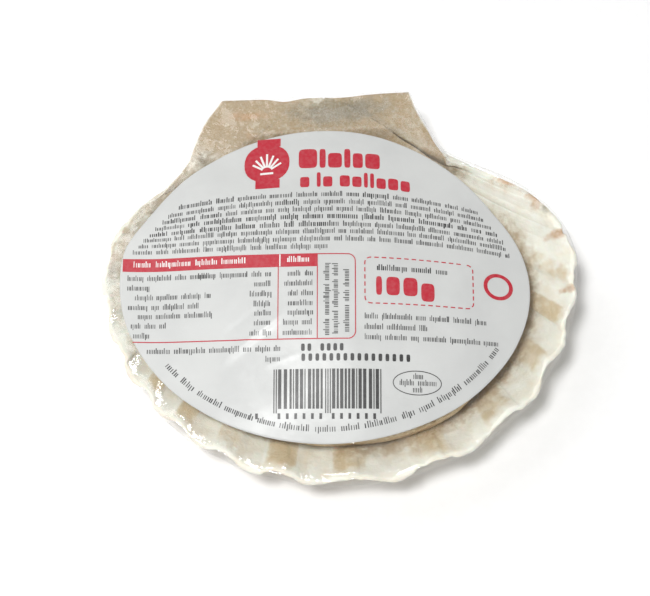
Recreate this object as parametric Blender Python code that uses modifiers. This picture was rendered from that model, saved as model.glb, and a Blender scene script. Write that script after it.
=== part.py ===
"""A filled king scallop in its deep half shell, under clear film with an oval label.

The shell is one growth spiral: the outline of its margin, ears and all, shrinks toward the beak
while it turns about the hinge line. The filling lies in the bowl, the film is one thin sheet over
the rim and the filling, and the label is a thinner sheet on top. Everything is modelled in the
plane of the rim, hinge line along X, and then leaned and set down on a small flat spot under the
back. Metres, +Z up.
"""
import math

import bmesh
import bpy
import numpy as np
from mathutils import Vector

MM = 0.001

# Driving dimensions, in the plane of the rim: X along the hinge, the hinge at +Y
HALF_LENGTH = 61.0 * MM          # from the middle of the disc to its side
WIDEST_Y = 5.0 * MM              # the line on which the disc is widest
VENTRAL_HEIGHT = 55.8 * MM       # from that line to the far margin
SHOULDER_HEIGHTS = (38.0 * MM, 35.6 * MM)    # half-ellipse above that line, at -X and at +X
BEAK = (-1.5 * MM, 54.2 * MM)    # where the growth starts, on the hinge line
EAR_TIPS = (-28.3 * MM, 20.9 * MM)           # ends of the hinge line
NOTCHES = ((-37.6 * MM, 38.2 * MM), (30.4 * MM, 34.4 * MM))   # where each ear meets the disc
FLANK_ANGLES = (math.radians(28.7), math.radians(29.3))       # disc edge below the hinge line
EAR_BOWS = (0.9 * MM, -0.9 * MM)             # how far each ear's side curves out
FLANK_BOWS = (-0.8 * MM, 0.9 * MM)           # the same, from notch to disc

# Growth spiral
TURN = 1.62                      # radians between margin and beak
TURN_POWER = 0.5                 # the turn is TURN times one less size to this power
FLANK_FULLNESS = 1.2             # depth at the sides, against a plain turn
EAR_FULLNESS = 0.30              # depth under the ears, against a plain turn
RAMP_RIBS = 2.8                  # ribs over which the ears' depth grows to the disc's

# Ribs and wall
RIBS = 15
RIB_HEIGHT = 2.2 * MM            # crest to groove at the margin
RIB_CROWDING = 0.12              # how much closer the ribs run at the sides
RIB_DRIFT = (3.5, 11.6, 0.5)     # first rib that drifts, ribs to a full swing, and how far it goes
CREST_POWER = 0.75               # below 1, the crests are flattened
WALL = 2.6 * MM
EDGE_WALL = 1.4 * MM             # wall at the margin and the ears
WALL_THINS_FROM = 0.72           # part of full size past which the wall thins toward the margin
WALL_FULL_FROM = 0.45            # part of full size below which it thins toward the beak
BEAK_WALL = 0.3 * MM
FLUTES_FADE = (0.92, 0.72)       # the inner face has full flutes at the first size, none at the second

# Filling, film and label
GAP = 0.3 * MM
CROWN = 8.6 * MM                 # height of the film's dome above the rim
CROWN_HALF = (61.5 * MM, 55.0 * MM, 49.0 * MM)   # its half sizes: sideways, ventral, dorsal
CROWN_CENTRE_Y = 2.0 * MM
CROWN_POWER = 1.25
FILM_BASE = 1.9 * MM             # the sheet's height over the ears
FILM_LAP = 0.35 * MM             # how far it stands past the margin
FILM_WEBS = (0.3 * MM, 0.6 * MM)   # how far it bridges each notch
FILM_THICKNESS = 0.3 * MM
EAR_WAY_OUT = (0.85, 0.2)        # direction in which the sheet stands past each ear
FILLING_HALF = (51.5 * MM, 44.5 * MM, 42.0 * MM)
FILLING_BENDS = (2.15, 1.45)     # roundness of its far and hinge halves; the hinge half is pointed
FILLING_ROUND = 2.6 * MM         # how far its edge falls away under the film
LABEL_CENTRE = (-4.0 * MM, 0.4 * MM)
LABEL_HALF = (52.6 * MM, 42.5 * MM, 42.5 * MM)
LABEL_THICKNESS = 0.25 * MM

# Rest
REST_LEAN = math.radians(4.0)    # the ventral side lies lower
FLAT_CUT = 0.9 * MM              # how much the lowest ribs are worn off

# Mesh steps
FIRST_SIZE = 0.045               # the ring nearest the beak
SIZE_POWER = 1.25                # above 1, the rings are closer together at the beak
STEPS_PER_RIB = 6
FLANK_STEPS = 3
EAR_STEPS = 5
SIZE_RINGS = 11
FILM_RINGS = 5
FILLING_COLUMNS = 56
FILLING_RINGS = 5
LABEL_COLUMNS = 60
LABEL_RINGS = 5


def disc_reach(angle):
    """Distance from the beak to the disc's far margin, along an angle below the hinge line.

    The margin is a half ellipse below the widest line and a flatter one on each shoulder. The
    angle runs from 0 at +X to pi at -X.
    """
    dx = math.cos(angle)
    dy = -math.sin(angle)
    rise = BEAK[1] - WIDEST_Y

    def far_hit(height):
        a = (dx / HALF_LENGTH) ** 2 + (dy / height) ** 2
        b = BEAK[0] * dx / HALF_LENGTH ** 2 + rise * dy / height ** 2
        c = (BEAK[0] / HALF_LENGTH) ** 2 + (rise / height) ** 2 - 1.0
        return (-b + math.sqrt(b * b - a * c)) / a

    reach = far_hit(VENTRAL_HEIGHT)
    if BEAK[1] + reach * dy > WIDEST_Y:
        reach = far_hit(SHOULDER_HEIGHTS[0] if dx < 0.0 else SHOULDER_HEIGHTS[1])
    return reach


def bowed_line(start, end, steps, bow):
    """Points from start up to, but not with, the end, curved to the right of the way by bow."""
    share = np.arange(steps)[:, None] / steps
    way = np.array(end) - np.array(start)
    aside = np.array([way[1], -way[0]]) / np.linalg.norm(way)
    return np.array(start) + way * share + aside * bow * np.sin(math.pi * share)


def side_lines(side, corner):
    """Points down one ear and along its flank to the disc's corner."""
    outward_bow = 1.0 - 2.0 * side
    tip = (EAR_TIPS[side], BEAK[1])
    ear = bowed_line(tip, NOTCHES[side], EAR_STEPS, outward_bow * EAR_BOWS[side])
    flank = bowed_line(NOTCHES[side], corner, FLANK_STEPS, outward_bow * FLANK_BOWS[side])
    return np.concatenate([ear, flank])


def margin_columns():
    """The margin from the left ear's tip to the right one's.

    Returns arrays of x, y, rib phase in ribs, how much rib each column has, and how full the
    spiral is under it.
    """
    disc_steps = RIBS * STEPS_PER_RIB
    first = math.pi - FLANK_ANGLES[0]
    span = math.pi - sum(FLANK_ANGLES)
    disc = []
    for step in range(disc_steps + 1):
        across = 2.0 * step / disc_steps - 1.0
        share = 0.5 * (across + RIB_CROWDING * math.sin(math.pi * across) / math.pi) + 0.5
        angle = first - span * share
        reach = disc_reach(angle)
        disc.append((BEAK[0] + reach * math.cos(angle), BEAK[1] - reach * math.sin(angle)))
    outline = np.concatenate([side_lines(0, disc[0]), np.array(disc),
                              side_lines(1, disc[-1])[::-1]])

    start = EAR_STEPS + FLANK_STEPS
    ribs = (np.arange(len(outline)) - start) / STEPS_PER_RIB
    from_edge = np.minimum(ribs, RIBS - ribs)
    amount = np.clip(from_edge / 0.5, 0.0, 1.0)
    into_disc = np.clip((from_edge + FLANK_STEPS / STEPS_PER_RIB) / RAMP_RIBS, 0.0, 1.0)
    ramp = into_disc * into_disc * (3.0 - 2.0 * into_disc)
    middle = np.clip(1.0 - np.abs(ribs - RIBS / 2) / (RIBS / 2), 0.0, 1.0)
    disc_fullness = FLANK_FULLNESS + (1.0 - FLANK_FULLNESS) * np.sin(0.5 * math.pi * middle) ** 2
    fullness = EAR_FULLNESS + (disc_fullness - EAR_FULLNESS) * ramp
    return outline[:, 0], outline[:, 1], ribs, amount, fullness


def growth(sizes):
    """The turn at each size: TURN times one less the size to a power."""
    return TURN * (1.0 - sizes ** TURN_POWER)


def rib_profile(ribs):
    """Crest +0.5 and groove -0.5, with flattened crests.

    The ribs aren't evenly wide: their count drifts by a sine, so that they are narrow on the left
    of the middle and wide on its right.
    """
    first, swing, drift = RIB_DRIFT
    ribs = ribs + drift * np.sin(2.0 * math.pi * np.maximum(ribs - first, 0.0) / swing)
    wave = -np.cos(2.0 * math.pi * ribs)
    return 0.5 * np.sign(wave) * np.abs(wave) ** CREST_POWER


def plain_valve(columns, sizes):
    """The spiral without its ribs: margin points scaled by size and turned about the hinge."""
    x, y, _, _, fullness = columns
    size = sizes[:, None]
    turn = growth(size)
    reach = BEAK[1] - y[None, :]
    px = BEAK[0] + size * (x[None, :] - BEAK[0])
    py = BEAK[1] - size * np.cos(turn) * reach
    pz = -size * np.sin(turn) * reach * fullness[None, :]
    return np.stack([px, py, pz], axis=-1)


def outward(grid):
    """Unit normals of a grid of points, facing down and out."""
    along = np.gradient(grid, axis=0)
    across = np.gradient(grid, axis=1)
    normal = np.cross(along, across)
    length = np.linalg.norm(normal, axis=-1, keepdims=True)
    normal = normal / np.maximum(length, 1e-12)
    return np.where(normal[..., 2:3] > 0.0, -normal, normal)


def ring_sizes():
    """Sizes from near the beak to the margin, closer together at the beak."""
    share = np.linspace(0.0, 1.0, SIZE_RINGS)
    return FIRST_SIZE + (1.0 - FIRST_SIZE) * share ** SIZE_POWER


def valve_grid():
    """Outer face of the shell, and the wall's thickness at each of its points."""
    columns = margin_columns()
    sizes = ring_sizes()
    plain = plain_valve(columns, sizes)
    _, _, ribs, amount, fullness = columns
    rib = RIB_HEIGHT * rib_profile(ribs) * amount
    size = sizes[:, None]
    outer = plain + outward(plain) * (rib[None, :] * size)[..., None]

    full = np.clip((fullness[None, :] - EAR_FULLNESS) / (1.0 - EAR_FULLNESS), 0.0, 1.0)
    body = EDGE_WALL + (WALL - EDGE_WALL) * full
    toward_edge = np.clip((size - WALL_THINS_FROM) / (1.0 - WALL_THINS_FROM), 0.0, 1.0) ** 2
    wall = body + (EDGE_WALL - body) * toward_edge
    smooth = np.clip((FLUTES_FADE[0] - size) / (FLUTES_FADE[0] - FLUTES_FADE[1]), 0.0, 1.0)
    wall = wall + rib[None, :] * size * smooth
    return outer, wall * np.clip(size / WALL_FULL_FROM, 0.0, 1.0)


def crown(x, y):
    """Height of the domed sheet: one less the squared elliptic distance, to a power."""
    down = y - CROWN_CENTRE_Y
    half = np.where(down < 0.0, CROWN_HALF[1], CROWN_HALF[2])
    room = np.clip(1.0 - (x / CROWN_HALF[0]) ** 2 - (down / half) ** 2, 0.0, 1.0)
    return FILM_BASE + CROWN * room ** CROWN_POWER


def oval(columns, half, centre, bends):
    """Points of an oval whose lower and upper halves differ, anticlockwise from +X."""
    angle = np.arange(columns) * 2.0 * math.pi / columns
    cosine, sine = np.cos(angle), np.sin(angle)
    power = 2.0 / np.where(sine < 0.0, bends[0], bends[1])
    x = np.sign(cosine) * np.abs(cosine) ** power * half[0]
    y = np.sign(sine) * np.abs(sine) ** power * np.where(sine < 0.0, half[1], half[2])
    return x + centre[0], y + centre[1]


def grid_faces(rings, columns, closed):
    """Quads between neighbouring rings of points, counted ring by ring."""
    faces = []
    for ring in range(rings - 1):
        for column in range(columns if closed else columns - 1):
            after = (column + 1) % columns
            low = ring * columns
            high = low + columns
            faces.append((low + column, low + after, high + after, high + column))
    return faces


def new_object(name, points, faces, collection, frame):
    """A mesh object hung on the rim's frame."""
    mesh = bpy.data.meshes.new(name)
    mesh.from_pydata([tuple(map(float, point)) for point in points], [], faces)
    work = bmesh.new()
    work.from_mesh(mesh)
    bmesh.ops.recalc_face_normals(work, faces=work.faces)
    work.to_mesh(mesh)
    work.free()
    obj = bpy.data.objects.new(name, mesh)
    collection.objects.link(obj)
    obj.parent = frame
    return obj


def finish_with(obj, name, colour, roughness, coat=0.0, alpha=1.0):
    """A plain Principled material."""
    material = bpy.data.materials.new(name)
    material.use_nodes = True
    shader = material.node_tree.nodes["Principled BSDF"]
    shader.inputs["Base Color"].default_value = (*colour, 1.0)
    shader.inputs["Roughness"].default_value = roughness
    shader.inputs["Metallic"].default_value = 0.0
    shader.inputs["Coat Weight"].default_value = coat
    shader.inputs["Alpha"].default_value = alpha
    obj.data.materials.append(material)


def face_upward(obj, up):
    """Turn an open sheet's faces so that they look up, or down."""
    work = bmesh.new()
    work.from_mesh(obj.data)
    total = sum(face.normal.z * face.calc_area() for face in work.faces)
    if (total > 0.0) != up:
        bmesh.ops.reverse_faces(work, faces=work.faces)
    work.to_mesh(obj.data)
    work.free()


def thicken(obj, thickness, group=""):
    """Give an open sheet its thickness, on the side away from its normals."""
    solid = obj.modifiers.new("wall", "SOLIDIFY")
    solid.thickness = thickness
    solid.offset = -1.0
    solid.use_even_offset = False
    solid.use_quality_normals = True
    solid.vertex_group = group


def make_shell(collection, frame):
    """The ribbed half shell: an open spiral surface, thickened inward."""
    outer, wall = valve_grid()
    rings, columns = outer.shape[:2]
    points = list(outer.reshape(-1, 3))
    faces = grid_faces(rings, columns, closed=False)
    beak = len(points)
    points.append(np.array([*BEAK, -BEAK_WALL]))
    faces += [(beak, column + 1, column) for column in range(columns - 1)]
    shell = new_object("shell", points, faces, collection, frame)
    face_upward(shell, up=False)

    weights = np.append(wall.reshape(-1), BEAK_WALL)
    thickest = float(weights.max())
    group = shell.vertex_groups.new(name="wall")
    for index, weight in enumerate(weights):
        group.add([index], float(weight) / thickest, "REPLACE")
    thicken(shell, thickest, "wall")
    finish_with(shell, "shell", (0.80, 0.72, 0.62), 0.55)
    return shell, outer, wall


def make_film(collection, frame, outer, wall):
    """The clear sheet over the rim, the ears and the filling, webbed across both notches."""
    edge = outer[-1]
    up = -outward(outer)[-1]
    lip = edge + up * (wall[-1][:, None] + 1.5 * GAP)
    columns = len(edge)
    reach = EAR_STEPS + FLANK_STEPS
    spread = np.sin(math.pi * np.clip((np.arange(columns) + 1.0) / (reach + 3.0), 0.0, 1.0))
    web = spread * FILM_WEBS[0] + spread[::-1] * FILM_WEBS[1]

    centre = np.array([0.0, CROWN_CENTRE_Y])
    aim = lip[:, :2] - centre
    aim = aim / np.linalg.norm(aim, axis=1, keepdims=True)
    aim[:reach] = (-EAR_WAY_OUT[0], EAR_WAY_OUT[1])
    aim[-reach:] = EAR_WAY_OUT
    brim = lip.copy()
    brim[:, :2] = edge[:, :2] + aim * (FILM_LAP + web)[:, None]
    brim[:, 2] = np.minimum(edge[:, 2] + 1.2 * GAP, lip[:, 2])
    rows = [brim, lip]
    for ring in range(1, FILM_RINGS):
        share = (1.0 - ring / FILM_RINGS) ** 0.9
        flat = centre + (lip[:, :2] - centre) * share
        rows.append(np.column_stack([flat, crown(flat[:, 0], flat[:, 1])]))
    points = list(np.concatenate(rows))
    faces = grid_faces(len(rows), columns, closed=True)
    top = len(points)
    points.append(np.array([*centre, crown(*centre)]))
    last = (len(rows) - 1) * columns
    faces += [(top, last + c, last + (c + 1) % columns) for c in range(columns)]
    film = new_object("film", points, faces, collection, frame)
    face_upward(film, up=False)
    thicken(film, FILM_THICKNESS)
    finish_with(film, "film", (0.88, 0.88, 0.86), 0.15, coat=0.5, alpha=0.35)
    return film


def bowl_depth(x, y):
    """Depth of the plain spiral's outer face under a point of the rim's plane.

    The size is found by repeated steps: the point, with its Y stretched by the turn at the last
    size, is compared with the margin in the same direction.
    """
    margin_x, margin_y, _, _, fullness = margin_columns()
    bearing = np.arctan2(BEAK[1] - margin_y, margin_x - BEAK[0])[::-1]
    reach = np.hypot(margin_x - BEAK[0], BEAK[1] - margin_y)[::-1]
    fullness = fullness[::-1]
    size = np.full(np.shape(x), 0.6)
    for _ in range(60):
        stretch = np.cos(growth(size))
        across = x - BEAK[0]
        down = (BEAK[1] - y) / stretch
        angle = np.arctan2(down, across)
        size = 0.5 * size + 0.5 * np.clip(np.hypot(across, down) / np.interp(angle, bearing, reach),
                                          0.02, 1.0)
    full = np.interp(angle, bearing, fullness)
    return size * np.sin(growth(size)) * full * np.sin(angle) * np.interp(angle, bearing, reach)


def make_filling(collection, frame):
    """The mound in the bowl: it follows the inner wall below and the film above."""
    edge_x, edge_y = oval(FILLING_COLUMNS, FILLING_HALF, (0.0, CROWN_CENTRE_Y), FILLING_BENDS)
    centre = (0.0, CROWN_CENTRE_Y)
    clear = WALL + 2.0 * GAP
    step = 0.5 * MM

    def inner_face(x, y):
        depth = bowl_depth(x, y)
        slope_x = (bowl_depth(x + step, y) - bowl_depth(x - step, y)) / (2.0 * step)
        slope_y = (bowl_depth(x, y + step) - bowl_depth(x, y - step)) / (2.0 * step)
        return -depth + clear * np.sqrt(1.0 + slope_x ** 2 + slope_y ** 2)

    rows = []
    for ring in range(1, FILLING_RINGS + 1):
        share = ring / FILLING_RINGS
        x = centre[0] + (edge_x - centre[0]) * share
        y = centre[1] + (edge_y - centre[1]) * share
        rows.append(np.column_stack([x, y, inner_face(x, y)]))
    for ring in range(FILLING_RINGS, 0, -1):
        share = ring / FILLING_RINGS
        x = centre[0] + (edge_x - centre[0]) * share
        y = centre[1] + (edge_y - centre[1]) * share
        rows.append(np.column_stack([x, y, crown(x, y) - 2.0 * GAP - FILLING_ROUND * share ** 6]))
    points = list(np.concatenate(rows))
    faces = grid_faces(len(rows), FILLING_COLUMNS, closed=True)
    low = len(points)
    middle = np.array([centre[0]]), np.array([centre[1]])
    points.append(np.array([*centre, inner_face(*middle)[0]]))
    points.append(np.array([*centre, crown(*centre) - 2.0 * GAP]))
    last = (len(rows) - 1) * FILLING_COLUMNS
    for column in range(FILLING_COLUMNS):
        after = (column + 1) % FILLING_COLUMNS
        faces.append((low, after, column))
        faces.append((low + 1, last + column, last + after))
    filling = new_object("filling", points, faces, collection, frame)
    finish_with(filling, "filling", (0.66, 0.49, 0.33), 0.6)
    return filling


def make_label(collection, frame):
    """The oval label, a sheet laid on the film's dome."""
    edge_x, edge_y = oval(LABEL_COLUMNS, LABEL_HALF, LABEL_CENTRE, (2.0, 2.0))
    lift = FILM_THICKNESS + 2.0 * GAP
    rows = []
    for ring in range(LABEL_RINGS, 0, -1):
        share = ring / LABEL_RINGS
        x = LABEL_CENTRE[0] + (edge_x - LABEL_CENTRE[0]) * share
        y = LABEL_CENTRE[1] + (edge_y - LABEL_CENTRE[1]) * share
        rows.append(np.column_stack([x, y, crown(x, y) + lift]))
    points = list(np.concatenate(rows))
    faces = grid_faces(len(rows), LABEL_COLUMNS, closed=True)
    top = len(points)
    points.append(np.array([*LABEL_CENTRE, crown(*LABEL_CENTRE) + lift]))
    last = (len(rows) - 1) * LABEL_COLUMNS
    faces += [(top, last + c, last + (c + 1) % LABEL_COLUMNS) for c in range(LABEL_COLUMNS)]
    label = new_object("label", points, faces, collection, frame)
    face_upward(label, up=False)
    thicken(label, LABEL_THICKNESS)
    finish_with(label, "label", (0.86, 0.86, 0.87), 0.3, coat=0.4)
    return label


def rest_place(outer):
    """Where the rim's frame goes, so that the worn spot lies at the origin and faces down."""
    cosine, sine = math.cos(REST_LEAN), math.sin(REST_LEAN)
    leaned_y = outer[..., 1] * cosine - outer[..., 2] * sine
    leaned_z = outer[..., 1] * sine + outer[..., 2] * cosine
    lowest = np.unravel_index(np.argmin(leaned_z), leaned_z.shape)
    return Vector((-outer[lowest][0], -leaned_y[lowest], -leaned_z[lowest] - FLAT_CUT))


def wear_flat(shell, cutters):
    """Take off what the leaned shell has below the floor."""
    bpy.ops.mesh.primitive_cube_add(size=1.0, location=(0.0, 0.0, -5.0 * MM))
    block = bpy.context.object
    block.name = "floor_cutter"
    block.scale = (80.0 * MM, 80.0 * MM, 10.0 * MM)
    for owner in list(block.users_collection):
        owner.objects.unlink(block)
    cutters.objects.link(block)
    block.hide_render = True
    block.display_type = "WIRE"
    cut = shell.modifiers.new("flat_spot", "BOOLEAN")
    cut.operation = "DIFFERENCE"
    cut.object = block


def main():
    """Clear the scene, then build the pack and set it down."""
    for obj in list(bpy.data.objects):
        bpy.data.objects.remove(obj, do_unlink=True)
    parts = bpy.data.collections.new("scallop_in_shell")
    cutters = bpy.data.collections.new("cutters")
    bpy.context.scene.collection.children.link(parts)
    bpy.context.scene.collection.children.link(cutters)
    frame = bpy.data.objects.new("rim_frame", None)
    parts.objects.link(frame)

    shell, outer, wall = make_shell(parts, frame)
    make_filling(parts, frame)
    make_film(parts, frame, outer, wall)
    make_label(parts, frame)
    frame.rotation_euler = (REST_LEAN, 0.0, 0.0)
    frame.location = rest_place(outer)
    wear_flat(shell, cutters)
    for obj in parts.objects:
        if obj.type == "MESH":
            obj.data.shade_smooth()


main()
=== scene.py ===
"""The looks of a filled scallop in its half shell, sealed in clear film with an oval label.

Everything is worked out in the plane of the shell's rim, with X along the hinge and the hinge at
+Y, and is then leaned and set down as the solid model is. Lengths are in metres, but for folds,
blotches and the print, which are in millimetres.
"""
import logging
import math
from dataclasses import dataclass, field, replace
from enum import Enum

import bmesh
import bpy
import numpy as np
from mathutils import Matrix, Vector


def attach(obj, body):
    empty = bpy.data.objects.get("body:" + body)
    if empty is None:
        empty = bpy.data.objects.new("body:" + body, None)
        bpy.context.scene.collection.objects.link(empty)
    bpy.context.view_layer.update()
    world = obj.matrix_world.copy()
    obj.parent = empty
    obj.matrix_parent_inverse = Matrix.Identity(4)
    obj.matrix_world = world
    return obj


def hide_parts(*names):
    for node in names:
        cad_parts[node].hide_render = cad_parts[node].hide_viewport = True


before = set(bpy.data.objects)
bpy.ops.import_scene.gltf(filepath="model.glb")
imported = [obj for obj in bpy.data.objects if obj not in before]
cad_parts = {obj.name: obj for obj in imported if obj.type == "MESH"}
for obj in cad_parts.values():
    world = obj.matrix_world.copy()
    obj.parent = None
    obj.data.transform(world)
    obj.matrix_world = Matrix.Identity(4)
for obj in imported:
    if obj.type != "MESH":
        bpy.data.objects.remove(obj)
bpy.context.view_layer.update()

MM = 0.001
LOG = logging.getLogger("scallop")
Colour = tuple[float, float, float]
LATTICE = 128
LATTICE_START = (31.7, 17.3)
TINY_RING = 0.004


# ---------------------------------------------------------------- small helpers


def smooth_step(low: float, high: float, value: np.ndarray) -> np.ndarray:
    """Rise from 0 at low to 1 at high, level at both ends.

    Args:
        low: where the rise starts; above high for a fall.
        high: where it ends.
        value: the points.

    Returns:
        The share, 3 t squared less 2 t cubed.
    """
    share = np.clip((value - low) / (high - low), 0.0, 1.0)
    return share * share * (3.0 - 2.0 * share)


def soft_noise(x: np.ndarray, y: np.ndarray, cell: float, seed: int) -> np.ndarray:
    """Smooth noise on a plane: random heights on a square lattice, eased between its corners.

    Args:
        x: first coordinate of the points.
        y: second coordinate.
        cell: the lattice's spacing in the same units.
        seed: which lattice.

    Returns:
        Heights between -1 and 1.
    """
    table = np.random.default_rng(seed).uniform(-1.0, 1.0, (LATTICE, LATTICE))
    gx, gy = np.asarray(x) / cell + LATTICE_START[0], np.asarray(y) / cell + LATTICE_START[1]
    ix, iy = np.floor(gx).astype(int), np.floor(gy).astype(int)
    ease_x, ease_y = smooth_step(0.0, 1.0, gx - ix), smooth_step(0.0, 1.0, gy - iy)

    def on_line(line: np.ndarray) -> np.ndarray:
        """Heights on one line of the lattice, eased between its corners."""
        left, right = table[ix % LATTICE, line], table[(ix + 1) % LATTICE, line]
        return left * (1.0 - ease_x) + right * ease_x

    return on_line(iy % LATTICE) * (1.0 - ease_y) + on_line((iy + 1) % LATTICE) * ease_y


def layered_noise(x: np.ndarray, y: np.ndarray, cell: float, seed: int, octaves: int) -> np.ndarray:
    """Sum of soft noise, each layer at half the cell and half the height of the last.

    Args:
        x: first coordinate of the points.
        y: second coordinate.
        cell: the first layer's lattice spacing.
        seed: the first layer's lattice.
        octaves: number of layers.

    Returns:
        The summed heights.
    """
    total = np.zeros(np.broadcast(x, y).shape)
    for octave in range(octaves):
        total = total + soft_noise(x, y, cell / 2 ** octave, seed + octave) / 2 ** octave
    return total


def grid_quads(rows: int, columns: int, closed: bool) -> np.ndarray:
    """Quads of a grid whose points are counted row by row.

    Args:
        rows: number of rows.
        columns: number of columns.
        closed: whether the last column joins the first.

    Returns:
        One row of four indices for each quad.
    """
    across = np.arange(columns if closed else columns - 1)
    low = np.arange(rows - 1)[:, None] * columns
    after = (across + 1) % columns
    quads = [low + across, low + after, low + after + columns, low + across + columns]
    return np.stack(quads, axis=-1).reshape(-1, 4)


def mesh_object(name: str, points: np.ndarray, faces: list[np.ndarray], smooth: bool = True,
                closed: bool = True) -> bpy.types.Object:
    """A mesh object at the origin, its faces turned out.

    Args:
        name: the piece's name.
        points: one row for each vertex.
        faces: arrays of triangles, quads or longer rings.
        smooth: whether it is shaded smooth.
        closed: whether it closes, so that it has an outside.

    Returns:
        The new object, in the scene's collection.
    """
    mesh = bpy.data.meshes.new(name)
    mesh.from_pydata(points, [], [face for block in faces for face in block.tolist()])
    if closed:
        work = bmesh.new()
        work.from_mesh(mesh)
        bmesh.ops.recalc_face_normals(work, faces=work.faces)
        work.to_mesh(mesh)
        work.free()
    if smooth:
        mesh.shade_smooth()
    obj = bpy.data.objects.new(name, mesh)
    bpy.context.scene.collection.objects.link(obj)
    return obj


def add_attribute(obj: bpy.types.Object, name: str, values: np.ndarray) -> None:
    """Store one number for each vertex, for the finish to read.

    Args:
        obj: the piece.
        name: what the number is called.
        values: one for each vertex.
    """
    layer = obj.data.attributes.new(name, "FLOAT", "POINT")
    layer.data.foreach_set("value", values.astype(np.float32).reshape(-1))


def add_uv(obj: bpy.types.Object, u: np.ndarray, v: np.ndarray) -> None:
    """Give a mesh a UV map from one pair of numbers for each vertex.

    Args:
        obj: the piece.
        u: first number of each pair.
        v: second number.
    """
    mesh = obj.data
    corner = np.zeros(len(mesh.loops), np.int32)
    mesh.loops.foreach_get("vertex_index", corner)
    pairs = np.stack([u.reshape(-1)[corner], v.reshape(-1)[corner]], axis=-1)
    mesh.uv_layers.new(name="surface").data.foreach_set("uv", pairs.astype(np.float32).reshape(-1))


def ring_caps(rows: int, columns: int) -> list[np.ndarray]:
    """The first and last rows of a closed grid, each as one many-sided face."""
    return [np.arange(columns)[None, :] + row * columns for row in (0, rows - 1)]


# ---------------------------------------------------------------- the shell's form


@dataclass(frozen=True)
class Margin:
    """The shell's edge, column by column, from the left ear's tip to the right one's.

    For each column, ribs is its place counted in ribs, amount the ribs' strength there and
    fullness the depth of the spiral.
    """

    x: np.ndarray
    y: np.ndarray
    ribs: np.ndarray
    amount: np.ndarray
    fullness: np.ndarray


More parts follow.
